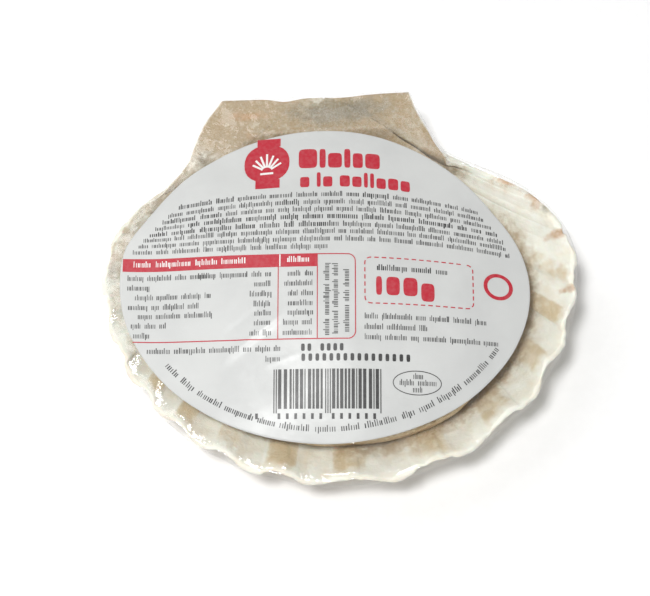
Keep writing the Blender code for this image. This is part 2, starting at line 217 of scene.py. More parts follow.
@dataclass(frozen=True)
class ShellForm:
    """One growth spiral: the margin shrinks toward the beak while it turns about the hinge."""

    half_length: float = 61.0 * MM
    widest_y: float = 5.0 * MM
    ventral_height: float = 55.8 * MM
    shoulder_heights: tuple[float, float] = (38.0 * MM, 35.6 * MM)
    beak: tuple[float, float] = (-1.5 * MM, 54.2 * MM)
    ear_tips: tuple[float, float] = (-28.3 * MM, 20.9 * MM)
    notches: tuple[tuple[float, float], tuple[float, float]] = (
        (-37.6 * MM, 38.2 * MM), (30.4 * MM, 34.4 * MM))
    flank_angles: tuple[float, float] = (math.radians(28.7), math.radians(29.3))
    ear_bows: tuple[float, float] = (0.9 * MM, -0.9 * MM)
    flank_bows: tuple[float, float] = (-0.8 * MM, 0.9 * MM)
    turn: float = 1.62
    turn_power: float = 0.5
    flank_fullness: float = 1.2
    ear_fullness: float = 0.30
    ramp_ribs: float = 2.8
    flank_ribs: float = 0.5
    fade_ribs: float = 0.5
    ribs: int = 15
    rib_height: float = 2.2 * MM
    rib_crowding: float = 0.12
    rib_drift: tuple[float, float, float] = (3.5, 11.6, 0.5)
    crest_power: float = 0.75
    wall: float = 2.6 * MM
    edge_wall: float = 1.4 * MM
    wall_thins_from: float = 0.72
    wall_full_from: float = 0.45

    def disc_reach(self, angle: np.ndarray) -> np.ndarray:
        """Distance from the beak to the disc's far margin.

        The margin is a half ellipse below the widest line and a flatter one on each shoulder.

        Args:
            angle: directions below the hinge line, 0 at +X and pi at -X.

        Returns:
            The reach in each direction.
        """
        dx, dy = np.cos(angle), -np.sin(angle)
        rise = self.beak[1] - self.widest_y

        def far_hit(height: np.ndarray | float) -> np.ndarray:
            """Where a line from the beak leaves an ellipse: the far root of a quadratic.

            Args:
                height: the ellipse's half height.

            Returns:
                The distance in each direction.
            """
            a = (dx / self.half_length) ** 2 + (dy / height) ** 2
            b = self.beak[0] * dx / self.half_length ** 2 + rise * dy / height ** 2
            c = (self.beak[0] / self.half_length) ** 2 + (rise / height) ** 2 - 1.0
            return (-b + np.sqrt(np.maximum(b * b - a * c, 0.0))) / a

        lower = far_hit(self.ventral_height)
        upper = far_hit(np.where(dx < 0.0, *self.shoulder_heights))
        return np.where(self.beak[1] + lower * dy > self.widest_y, upper, lower)

    def bowed_line(self, start: tuple[float, float], end: tuple[float, float], steps: int,
                   bow: float) -> np.ndarray:
        """Points from start up to, but not with, the end, curved to the right of the way.

        The curve is half a sine, as deep as the bow.

        Args:
            start: first point.
            end: where it leads.
            steps: number of points.
            bow: greatest distance from the straight line.

        Returns:
            One row for each point.
        """
        share = np.arange(steps)[:, None] / steps
        way = np.array(end) - np.array(start)
        aside = np.array([way[1], -way[0]]) / np.linalg.norm(way)
        return np.array(start) + way * share + aside * bow * np.sin(math.pi * share)

    def margin(self, rib_steps: int, flank_steps: int, ear_steps: int) -> Margin:
        """The margin's columns.

        Args:
            rib_steps: columns to a rib.
            flank_steps: columns between a notch and the first rib.
            ear_steps: columns down each ear's side.

        Returns:
            Places, rib phases, rib strength and fullness of the spiral.
        """
        across = np.linspace(-1.0, 1.0, self.ribs * rib_steps + 1)
        crowd = self.rib_crowding * np.sin(math.pi * across) / math.pi
        share = 0.5 * (across + crowd) + 0.5
        angle = math.pi - self.flank_angles[0] - share * (math.pi - sum(self.flank_angles))
        reach = self.disc_reach(angle)
        disc = np.stack([self.beak[0] + reach * np.cos(angle),
                         self.beak[1] - reach * np.sin(angle)], axis=-1)
        sides = []
        for side, corner in ((0, disc[0]), (1, disc[-1])):
            tip, notch = (self.ear_tips[side], self.beak[1]), self.notches[side]
            out = 1.0 - 2.0 * side
            ear = self.bowed_line(tip, notch, ear_steps, out * self.ear_bows[side])
            flank = self.bowed_line(notch, corner, flank_steps, out * self.flank_bows[side])
            sides.append(np.concatenate([ear, flank]))
        outline = np.concatenate([sides[0], disc, sides[1][::-1]])
        flank = (np.arange(flank_steps) / flank_steps - 1.0) * self.flank_ribs
        before = np.concatenate([np.full(ear_steps, -self.flank_ribs), flank])
        ribs = np.concatenate([before, np.linspace(0.0, self.ribs, len(disc)),
                               self.ribs - before[::-1]])
        from_edge = np.minimum(ribs, self.ribs - ribs)
        ramp = smooth_step(0.0, 1.0, (from_edge + self.flank_ribs) / self.ramp_ribs)
        middle = np.clip(1.0 - np.abs(2.0 * ribs / self.ribs - 1.0), 0.0, 1.0)
        disc_full = self.flank_fullness + (1.0 - self.flank_fullness) * np.sin(
            0.5 * math.pi * middle) ** 2
        return Margin(outline[:, 0], outline[:, 1], ribs, np.clip(from_edge / self.fade_ribs, 0.0, 1.0),
                      self.ear_fullness + (disc_full - self.ear_fullness) * ramp)

    def growth(self, size: np.ndarray) -> np.ndarray:
        """The turn at each size: the full turn times one less the size to a power."""
        return self.turn * (1.0 - size ** self.turn_power)

    def plain(self, margin: Margin, sizes: np.ndarray) -> np.ndarray:
        """The spiral without ribs: margin points scaled by size and turned about the hinge.

        Args:
            margin: the columns.
            sizes: the rows, as shares of the full size.

        Returns:
            A grid of points.
        """
        size = sizes[:, None]
        turn = self.growth(size)
        reach = self.beak[1] - margin.y
        return np.stack([self.beak[0] + size * (margin.x - self.beak[0]),
                         self.beak[1] - size * np.cos(turn) * reach,
                         -size * np.sin(turn) * reach * margin.fullness], axis=-1)

    def rib_wave(self, ribs: np.ndarray) -> np.ndarray:
        """Height of the ribs, as a cosine to a power, their count drifting by a sine.

        Args:
            ribs: the columns' places, counted in ribs.

        Returns:
            +0.5 on a crest and -0.5 in a groove.
        """
        first, swing, drift = self.rib_drift
        ribs = ribs + drift * np.sin(2.0 * math.pi * np.maximum(ribs - first, 0.0) / swing)
        wave = -np.cos(2.0 * math.pi * ribs)
        return 0.5 * np.sign(wave) * np.abs(wave) ** self.crest_power

    def walls(self, margin: Margin, sizes: np.ndarray) -> np.ndarray:
        """Thickness of the shell: thinner at the margin and the ears, nothing at the beak.

        Args:
            margin: the columns.
            sizes: the rows.

        Returns:
            The thickness for each row and column.
        """
        size = sizes[:, None]
        full = np.clip((margin.fullness - self.ear_fullness) / (1.0 - self.ear_fullness), 0.0, 1.0)
        body = self.edge_wall + (self.wall - self.edge_wall) * full
        start = self.wall_thins_from
        edge = np.clip((size - start) / (1.0 - start), 0.0, 1.0) ** 2
        wall = body + (self.edge_wall - body) * edge
        return wall * np.clip(size / self.wall_full_from, 0.0, 1.0)


def outward(grid: np.ndarray) -> np.ndarray:
    """Unit normals of a grid, the cross product of its two gradients, facing down as a whole.

    Args:
        grid: rows and columns of points.

    Returns:
        A normal for each point.
    """
    normal = np.cross(np.gradient(grid, axis=0), np.gradient(grid, axis=1))
    if float(normal[..., 2].sum()) > 0.0:
        normal = -normal
    return normal / np.maximum(np.linalg.norm(normal, axis=-1, keepdims=True), 1e-12)


@dataclass(frozen=True)
class RestPlace:
    """The lean and shift that set the rim's plane down on the worn spot under the back."""

    form: ShellForm
    lean: float = math.radians(4.0)
    flat_cut: float = 0.9 * MM
    steps: tuple[int, int, int] = (6, 3, 5)
    rows: int = 11
    smallest: float = 0.045
    spacing: float = 1.25

    def shift(self) -> np.ndarray:
        """Where the rim's origin goes, so that the lowest rib crest, less its wear, is the origin.

        Returns:
            The shift after the lean.
        """
        margin = self.form.margin(*self.steps)
        shares = np.linspace(0.0, 1.0, self.rows) ** self.spacing
        sizes = self.smallest + (1.0 - self.smallest) * shares
        plain = self.form.plain(margin, sizes)
        rib = self.form.rib_height * self.form.rib_wave(margin.ribs) * margin.amount
        leaned = self.turned(plain + outward(plain) * (rib * sizes[:, None])[..., None])
        lowest = leaned.reshape(-1, 3)[np.argmin(leaned[..., 2])]
        return np.array([-lowest[0], -lowest[1], -lowest[2] - self.flat_cut])

    def turned(self, points: np.ndarray) -> np.ndarray:
        """Points turned about X by the lean.

        Args:
            points: any array of points.

        Returns:
            The turned points.
        """
        cosine, sine = math.cos(self.lean), math.sin(self.lean)
        return np.stack([points[..., 0], points[..., 1] * cosine - points[..., 2] * sine,
                         points[..., 1] * sine + points[..., 2] * cosine], axis=-1)

    def place(self, points: np.ndarray, floor: float = 0.0) -> np.ndarray:
        """Points in the row's frame, none of them lower than the floor.

        Args:
            points: any array of points in the rim's frame.
            floor: the lowest height allowed.

        Returns:
            The same points, leaned, shifted and flattened onto the floor.
        """
        placed = self.turned(points) + self.shift()
        placed[..., 2] = np.maximum(placed[..., 2], floor)
        return placed


# ---------------------------------------------------------------- the sheet over the top


@dataclass(frozen=True)
class Fold:
    """A straight fold or crease in the sheet, in the rim's plane, in millimetres."""

    start: tuple[float, float]
    end: tuple[float, float]
    height: float
    width: float
    one_sided: float = 0.0

    def lift(self, x: np.ndarray, y: np.ndarray) -> np.ndarray:
        """Height that the fold adds.

        A crease is a bell across the line, faded at its ends. A bend also lowers the side on its
        right by a slope that sets in over the fold's width.

        Args:
            x: points across, in metres.
            y: points up.

        Returns:
            The added height, in metres.
        """
        from_x, from_y = x / MM - self.start[0], y / MM - self.start[1]
        way_x, way_y = self.end[0] - self.start[0], self.end[1] - self.start[1]
        length = math.hypot(way_x, way_y)
        along = (from_x * way_x + from_y * way_y) / length
        off = (from_x * way_y - from_y * way_x) / length
        ends = smooth_step(-0.15 * length, 0.2 * length, along) * smooth_step(
            1.15 * length, 0.8 * length, along)
        bell = self.height * np.exp(-(off / self.width) ** 2)
        drop = self.one_sided * 0.5 * (np.sqrt(off ** 2 + self.width ** 2) + off)
        return (bell - drop) * ends * MM


@dataclass(frozen=True)
class Dome:
    """Height of the film over the filling, with its folds and its unevenness."""

    base: float = 1.9 * MM
    crown: float = 8.6 * MM
    half: tuple[float, float, float] = (61.5 * MM, 55.0 * MM, 49.0 * MM)
    centre_y: float = 2.0 * MM
    power: float = 1.25
    wave: float = 0.16 * MM
    wave_cells: tuple[float, float] = (17.0 * MM, 7.5 * MM)
    small_wave: float = 0.35
    rim_wave: float = 0.25
    folds: tuple[Fold, ...] = (
        Fold((-12.0, -6.2), (-33.0, -20.5), 0.26, 1.3),
        Fold((-16.0, -3.5), (-30.5, -13.0), -0.12, 1.1),
        Fold((13.0, 39.0), (-2.0, 14.0), 0.10, 2.6, 0.035),
        Fold((-1.0, 17.0), (0.5, -30.0), 0.05, 4.5, 0.03),
        Fold((-38.0, 25.0), (-27.0, 21.5), 0.10, 0.7),
        Fold((-24.0, 32.0), (-17.0, 20.0), 0.09, 0.9),
        Fold((-22.0, -22.0), (-12.0, -19.0), 0.07, 0.8),
        Fold((20.0, -6.0), (33.0, -21.0), 0.07, 1.4),
    )

    def far(self, x: np.ndarray, y: np.ndarray) -> np.ndarray:
        """Squared elliptic distance from the middle, 1 at the dome's foot.

        Args:
            x: points across.
            y: points up.

        Returns:
            The squared distances.
        """
        down = y - self.centre_y
        half = np.where(down < 0.0, self.half[1], self.half[2])
        return (x / self.half[0]) ** 2 + (down / half) ** 2

    def plain(self, x: np.ndarray, y: np.ndarray) -> np.ndarray:
        """The even dome: one less the squared elliptic distance, to a power."""
        return self.base + self.crown * np.clip(1.0 - self.far(x, y), 0.0, 1.0) ** self.power

    def height(self, x: np.ndarray, y: np.ndarray) -> np.ndarray:
        """The dome with its folds and soft waves, which fade toward the rim.

        Args:
            x: points across.
            y: points up.

        Returns:
            The heights over the rim's plane.
        """
        inside = smooth_step(1.0, 0.55, self.far(x, y))
        waves = soft_noise(x, y, self.wave_cells[0], 5)
        waves = self.wave * (waves + self.small_wave * soft_noise(x, y, self.wave_cells[1], 6))
        waves = waves * (self.rim_wave + (1.0 - self.rim_wave) * inside)
        folded = sum(fold.lift(x, y) for fold in self.folds)
        return self.plain(x, y) + waves + folded * inside


# ---------------------------------------------------------------- finishes


class Graph:
    """One material's node tree. Each method adds a node and gives back an output of it."""

    def __init__(self, name: str) -> None:
        """Start an empty material.

        Args:
            name: what it is called.
        """
        self.material = bpy.data.materials.new(name)
        self.material.use_nodes = True
        self.tree = self.material.node_tree
        self.tree.nodes.clear()
        self.output = self.tree.nodes.new("ShaderNodeOutputMaterial")
        self.place = self.node("ShaderNodeTexCoord", {}).outputs["Object"]

    def node(self, kind: str, inputs: dict, **settings: object) -> bpy.types.Node:
        """Add a node.

        Args:
            kind: its Blender type.
            inputs: socket names or numbers, each with a value or the output that feeds it.
            settings: the node's own properties.

        Returns:
            The node.
        """
        node = self.tree.nodes.new(kind)
        for key, value in settings.items():
            setattr(node, key, value)
        for key, value in inputs.items():
            if isinstance(value, bpy.types.NodeSocket):
                self.tree.links.new(value, node.inputs[key])
            else:
                node.inputs[key].default_value = value
        return node

    def noise(self, cell: float, detail: float = 4.0, rough: float = 0.55,
              place: bpy.types.NodeSocket | None = None) -> bpy.types.NodeSocket:
        """Noise whose features are about a cell across.

        Args:
            cell: that width, in the units of the place.
            detail: how many finer layers it has.
            rough: how strong they are.
            place: where it is read, the object's own coordinates if left out.

        Returns:
            The noise, about 0.5 on the whole.
        """
        return self.node("ShaderNodeTexNoise", {
            "Vector": place or self.place, "Scale": 1.0 / cell, "Detail": detail,
            "Roughness": rough}).outputs[0]

    def attribute(self, name: str) -> bpy.types.NodeSocket:
        """A number stored on the mesh."""
        return self.node("ShaderNodeAttribute", {}, attribute_name=name).outputs["Fac"]

    def math(self, operation: str, *values: object) -> bpy.types.NodeSocket:
        """A calculation with numbers or outputs."""
        return self.node("ShaderNodeMath", dict(enumerate(values)), operation=operation).outputs[0]

    def fade(self, value: bpy.types.NodeSocket, low: float, high: float,
             start: float = 0.0, end: float = 1.0) -> bpy.types.NodeSocket:
        """Ease from start to end while a value goes from low to high.

        Args:
            value: what is followed.
            low: where the change begins.
            high: where it is over.
            start: the result up to low.
            end: the result from high on.

        Returns:
            The eased number.
        """
        return self.node("ShaderNodeMapRange", {"Value": value, "From Min": low, "From Max": high,
                                                "To Min": start, "To Max": end},
                         interpolation_type="SMOOTHSTEP").outputs[0]

    def blend(self, share: bpy.types.NodeSocket, first: bpy.types.NodeSocket | Colour,
              second: bpy.types.NodeSocket | Colour) -> bpy.types.NodeSocket:
        """Mix two colours.

        Args:
            share: how much of the second, between 0 and 1.
            first: a colour or an output.
            second: the same.

        Returns:
            The mixed colour.
        """
        def colour(value: bpy.types.NodeSocket | Colour) -> object:
            """Give a plain colour its alpha."""
            return value if isinstance(value, bpy.types.NodeSocket) else (*value, 1.0)

        node = self.node("ShaderNodeMix", {0: share, 6: colour(first), 7: colour(second)},
                         data_type="RGBA", clamp_factor=True)
        return node.outputs[2]

    def bump(self, height: bpy.types.NodeSocket, depth: float,
             under: bpy.types.NodeSocket | None = None) -> bpy.types.NodeSocket:
        """Relief for a shader.

        Args:
            height: the pattern.
            depth: its depth in metres.
            under: a relief that it lies on.

        Returns:
            The bent normal.
        """
        inputs = {"Height": height, "Distance": depth, "Strength": 1.0}
        if under is not None:
            inputs["Normal"] = under
        return self.node("ShaderNodeBump", inputs).outputs[0]

    def mixed(self, share: bpy.types.NodeSocket, first: bpy.types.Node,
              second: bpy.types.Node) -> bpy.types.Node:
        """Mix two shaders by a share of the second."""
        return self.node("ShaderNodeMixShader", {0: share, 1: first.outputs[0],
                                                 2: second.outputs[0]})

    def closed(self, shader: bpy.types.Node) -> bpy.types.Material:
        """Lead a shader to the output and hand over the material."""
        self.tree.links.new(shader.outputs[0], self.output.inputs["Surface"])
        return self.material

    def surface(self, inputs: dict) -> bpy.types.Material:
        """Close the tree with a Principled shader and hand over the material."""
        return self.closed(self.node("ShaderNodeBsdfPrincipled", inputs))


@dataclass(frozen=True)
class ShellFinish:
    """Scallop lime: cream and knobbly white, with tan sectors, stains, painted shade round the label
    and growth bands.
    """

    cream: Colour = (0.90, 0.91, 0.81)
    warm: Colour = (0.83, 0.79, 0.65)
    tan: Colour = (0.62, 0.49, 0.27)
    rust: Colour = (0.52, 0.30, 0.14)
    sauce: Colour = (0.41, 0.295, 0.155)
    grey: Colour = (0.23, 0.195, 0.125)
    outside: Colour = (0.66, 0.50, 0.38)
    chalk: Colour = (0.9, 0.89, 0.84)
    ring_scale: tuple[float, float, float] = (2.0, 16.0, 1.0)
    streak_scale: tuple[float, float, float] = (34.0, 2.5, 1.0)
    back_roughness: float = 0.62
    inner_roughness: float = 0.36

    def inner_colour(self, graph: Graph, cloud: bpy.types.NodeSocket) -> bpy.types.NodeSocket:
        """Cream and warm white, under the zones stored on the mesh, with ragged edges.

        Args:
            graph: the material's nodes.
            cloud: the noise that breaks the zones up.

        Returns:
            The colour.
        """
        ragged = graph.math("MULTIPLY_ADD", cloud, 0.9, -0.45)

        def zone(name: str, low: float, high: float, most: float) -> bpy.types.NodeSocket:
            """A stored zone, made ragged.

            Args:
                name: the stored number.
                low: where the zone starts to show.
                high: where it is at its strongest.
                most: how strong that is.

            Returns:
                The zone's share of the colour.
            """
            stored = graph.attribute(name)
            kept = graph.fade(graph.math("ADD", stored, ragged), low, high, 0.0, most)
            return graph.math("MULTIPLY", kept, graph.fade(stored, 0.0, 0.15))

        patch = graph.noise(6.0 * MM, 5.0)
        colour = graph.blend(graph.fade(patch, 0.42, 0.72), self.cream, self.warm)
        colour = graph.blend(zone("tan_zone", 0.12, 0.92, 0.90), colour, self.tan)
        # The sauce zone holds sauce stains and painted shade, a ring standing for the label's shadow at
        # its lower right.
        colour = graph.blend(zone("sauce_zone", -0.05, 0.55, 0.94), colour, self.sauce)
        spots = graph.math("MULTIPLY", graph.attribute("sauce_zone"), graph.fade(cloud, 0.52, 0.66))
        colour = graph.blend(graph.math("MULTIPLY", spots, 0.38), colour, self.warm)
        colour = graph.blend(zone("grey_zone", 0.2, 0.8, 0.85), colour, self.grey)
        return graph.blend(zone("rust_zone", 0.25, 0.75, 0.8), colour, self.rust)

    def back_tint(self, graph: Graph) -> bpy.types.NodeSocket:
        """Bands along the growth lines and streaks along the ribs, on the back alone.

        Args:
            graph: the material's nodes.

        Returns:
            The tint's share of the colour.
        """
        along = graph.node("ShaderNodeUVMap", {}, uv_map="surface").outputs[0]
        band, streak = (
            graph.noise(1.0, detail, 0.6, graph.node(
                "ShaderNodeMapping", {"Vector": along, "Scale": scale}).outputs[0])
            for scale, detail in ((self.ring_scale, 5.0), (self.streak_scale, 4.0)))
        tint = graph.math("ADD", graph.fade(band, 0.42, 0.66, 0.0, 0.75),
                          graph.fade(streak, 0.5, 0.7, 0.0, 0.35))
        return graph.math("MULTIPLY", tint, graph.math("SUBTRACT", 1.0, graph.attribute("inside")))

    def build(self) -> bpy.types.Material:
        """Make the material, duller outside than in.

        Returns:
            The material.
        """
        graph = Graph("scallop_lime")
        cloud, grain = graph.noise(2.1 * MM, 5.0), graph.noise(0.6 * MM, 3.0, 0.6)
        colour = self.inner_colour(graph, cloud)
        colour = graph.blend(self.back_tint(graph), colour, self.outside)
        colour = graph.blend(graph.fade(grain, 0.35, 0.7, 0.0, 0.14), colour, self.chalk)
        rough = graph.fade(graph.attribute("inside"), 0.0, 1.0, self.back_roughness,
                           self.inner_roughness)
        rough = graph.math("ADD", rough, graph.fade(cloud, 0.3, 0.7, 0.0, 0.12))
        bump = graph.bump(grain, 0.12 * MM, graph.bump(cloud, 0.22 * MM))
        return graph.surface({"Base Color": colour, "Roughness": rough, "Normal": bump,
                              "Subsurface Weight": 0.12, "Subsurface Scale": 2.0 * MM})


@dataclass(frozen=True)
class FillingFinish:
    """Sauce under browned crumbs, frozen."""

    sauce: Colour = (0.60, 0.43, 0.23)
    crumb: Colour = (0.77, 0.63, 0.41)
    browned: Colour = (0.48, 0.31, 0.15)

    def build(self) -> bpy.types.Material:
        """Make the material: crumbs stand on the sauce where the noise is high.

        Returns:
            The material.
        """
        graph = Graph("crumbed_filling")
        lumps, crumbs = graph.noise(3.0 * MM, 5.0), graph.noise(1.1 * MM, 4.0)
        colour = graph.blend(graph.fade(crumbs, 0.42, 0.6), self.sauce, self.crumb)
        colour = graph.blend(graph.fade(lumps, 0.55, 0.72, 0.0, 0.7), colour, self.browned)
        bump = graph.bump(crumbs, 0.5 * MM, graph.bump(lumps, 0.6 * MM))
        return graph.surface({"Base Color": colour, "Normal": bump,
                              "Roughness": graph.fade(crumbs, 0.3, 0.7, 0.35, 0.7)})


@dataclass(frozen=True)
class FilmFinish:
    """Clear shrink film: see-through, with gloss, a little haze and fine drawn-out wrinkles."""

    gloss: float = 0.055
    slant_gloss: float = 0.55
    roughness: float = 0.10
    haze: float = 0.035
    haze_colour: Colour = (0.93, 0.93, 0.90)

    def build(self) -> bpy.types.Material:
        """Make the material: clear, hazy and glossy shaders mixed, more gloss at a slant.

        Returns:
            The material.
        """
        graph = Graph("shrink_film")
        crinkle, fine = graph.noise(4.5 * MM, 4.0, 0.5), graph.noise(1.2 * MM, 3.0, 0.5)
        bump = graph.bump(fine, 0.10 * MM, graph.bump(crinkle, 0.55 * MM))
        clear = graph.node("ShaderNodeBsdfTransparent", {"Color": (1.0, 1.0, 1.0, 1.0)})
        haze = graph.node("ShaderNodeBsdfDiffuse", {"Color": (*self.haze_colour, 1.0)})
        shine = graph.node("ShaderNodeBsdfGlossy", {
            "Color": (1.0, 1.0, 1.0, 1.0), "Roughness": self.roughness, "Normal": bump})
        veil = graph.fade(crinkle, 0.3, 0.75, 0.4 * self.haze, 1.8 * self.haze)
        facing = graph.node("ShaderNodeLayerWeight", {"Blend": 0.5, "Normal": bump}).outputs[1]
        amount = graph.math("MULTIPLY_ADD", graph.math("POWER", facing, 4.0), self.slant_gloss,
                            self.gloss)
        return graph.closed(graph.mixed(amount, graph.mixed(veil, clear, haze), shine))


@dataclass(frozen=True)
class LabelFinish:
    """Smooth white label film, a little uneven where it lies on the filling."""

    white: Colour = (0.60, 0.608, 0.595)
    shade: Colour = (0.56, 0.568, 0.558)

    def build(self) -> bpy.types.Material:
        """Make the material: faint clouds in colour, gloss and relief.

        Returns:
            The material.
        """
        graph = Graph("label_white")
        cloud, fine = graph.noise(16.0 * MM, 3.0, 0.5), graph.noise(2.2 * MM, 3.0, 0.5)
        colour = graph.blend(graph.fade(cloud, 0.35, 0.7), self.white, self.shade)
        bump = graph.bump(fine, 0.04 * MM, graph.bump(cloud, 0.4 * MM))
        return graph.surface({"Base Color": colour, "Normal": bump, "Coat Weight": 0.10,
                              "Coat Roughness": 0.22, "Specular IOR Level": 0.35,
                              "Roughness": graph.fade(fine, 0.3, 0.7, 0.40, 0.50)})


class Ink(Enum):
    """The label's inks and their colours."""

    RED = ("print_red", (0.48, 0.022, 0.040))
    BLACK = ("print_black", (0.028, 0.028, 0.028))
    WHITE = ("print_white", (0.82, 0.81, 0.79))

    @property
    def piece(self) -> str:
        """Name of the piece that this ink makes."""
        return self.value[0]

    def build(self) -> bpy.types.Material:
        """Make the material: the ink's colour, a little uneven, as glossy as the label.

        Returns:
            The material.
        """
        graph = Graph(self.piece)
        colour = self.value[1]
        worn = tuple(0.93 * channel + 0.035 for channel in colour)
        uneven = graph.fade(graph.noise(0.9 * MM, 4.0), 0.35, 0.7)
        return graph.surface({"Base Color": graph.blend(uneven, colour, worn),
                              "Roughness": graph.fade(uneven, 0.0, 1.0, 0.42, 0.52),
                              "Specular IOR Level": 0.35, "Coat Weight": 0.06,
                              "Coat Roughness": 0.22})


@dataclass(frozen=True)
class FloorFinish:
    """Plain pale card."""

    white: Colour = (0.95, 0.95, 0.95)
    whiter: Colour = (0.97, 0.97, 0.97)
    near_glow: float = 0.01
    far_glow: float = 0.30

    def build(self) -> bpy.types.Material:
        """Make the material: near-white with a trace of grain, and paler by its own glow far off.

        Returns:
            The material.
        """
        graph = Graph("pale_floor")
        glow = graph.fade(graph.attribute("far"), 0.0, 1.0, self.near_glow, self.far_glow)
        grain = graph.fade(graph.noise(4.0 * MM, 3.0), 0.3, 0.7)
        return graph.surface({"Base Color": graph.blend(grain, self.white, self.whiter),
                              "Roughness": 0.8, "Specular IOR Level": 0.1,
                              "Emission Color": (1.0, 1.0, 1.0, 1.0),
                              "Emission Strength": glow})


# ---------------------------------------------------------------- the pieces


def finished(obj: bpy.types.Object, material: bpy.types.Material) -> bpy.types.Object:
    """Dress a piece and report it.

    Args:
        obj: the piece.
        material: its finish.

    Returns:
        The same piece.
    """
    obj.data.materials.append(material)
    LOG.info("%s: %d faces", obj.name, len(obj.data.polygons))
    return obj


@dataclass(frozen=True)
class Blotch:
    """A soft oval patch of stain on the shell, in the rim's plane, in millimetres."""

    zone: str
    x: float
    y: float
    wide: float
    high: float
    strength: float = 1.0

    def weight(self, x: np.ndarray, y: np.ndarray) -> np.ndarray:
        """Strength at points in metres, falling off as a bell from the middle."""
        far = ((x / MM - self.x) / self.wide) ** 2 + ((y / MM - self.y) / self.high) ** 2
        return self.strength * np.exp(-far)


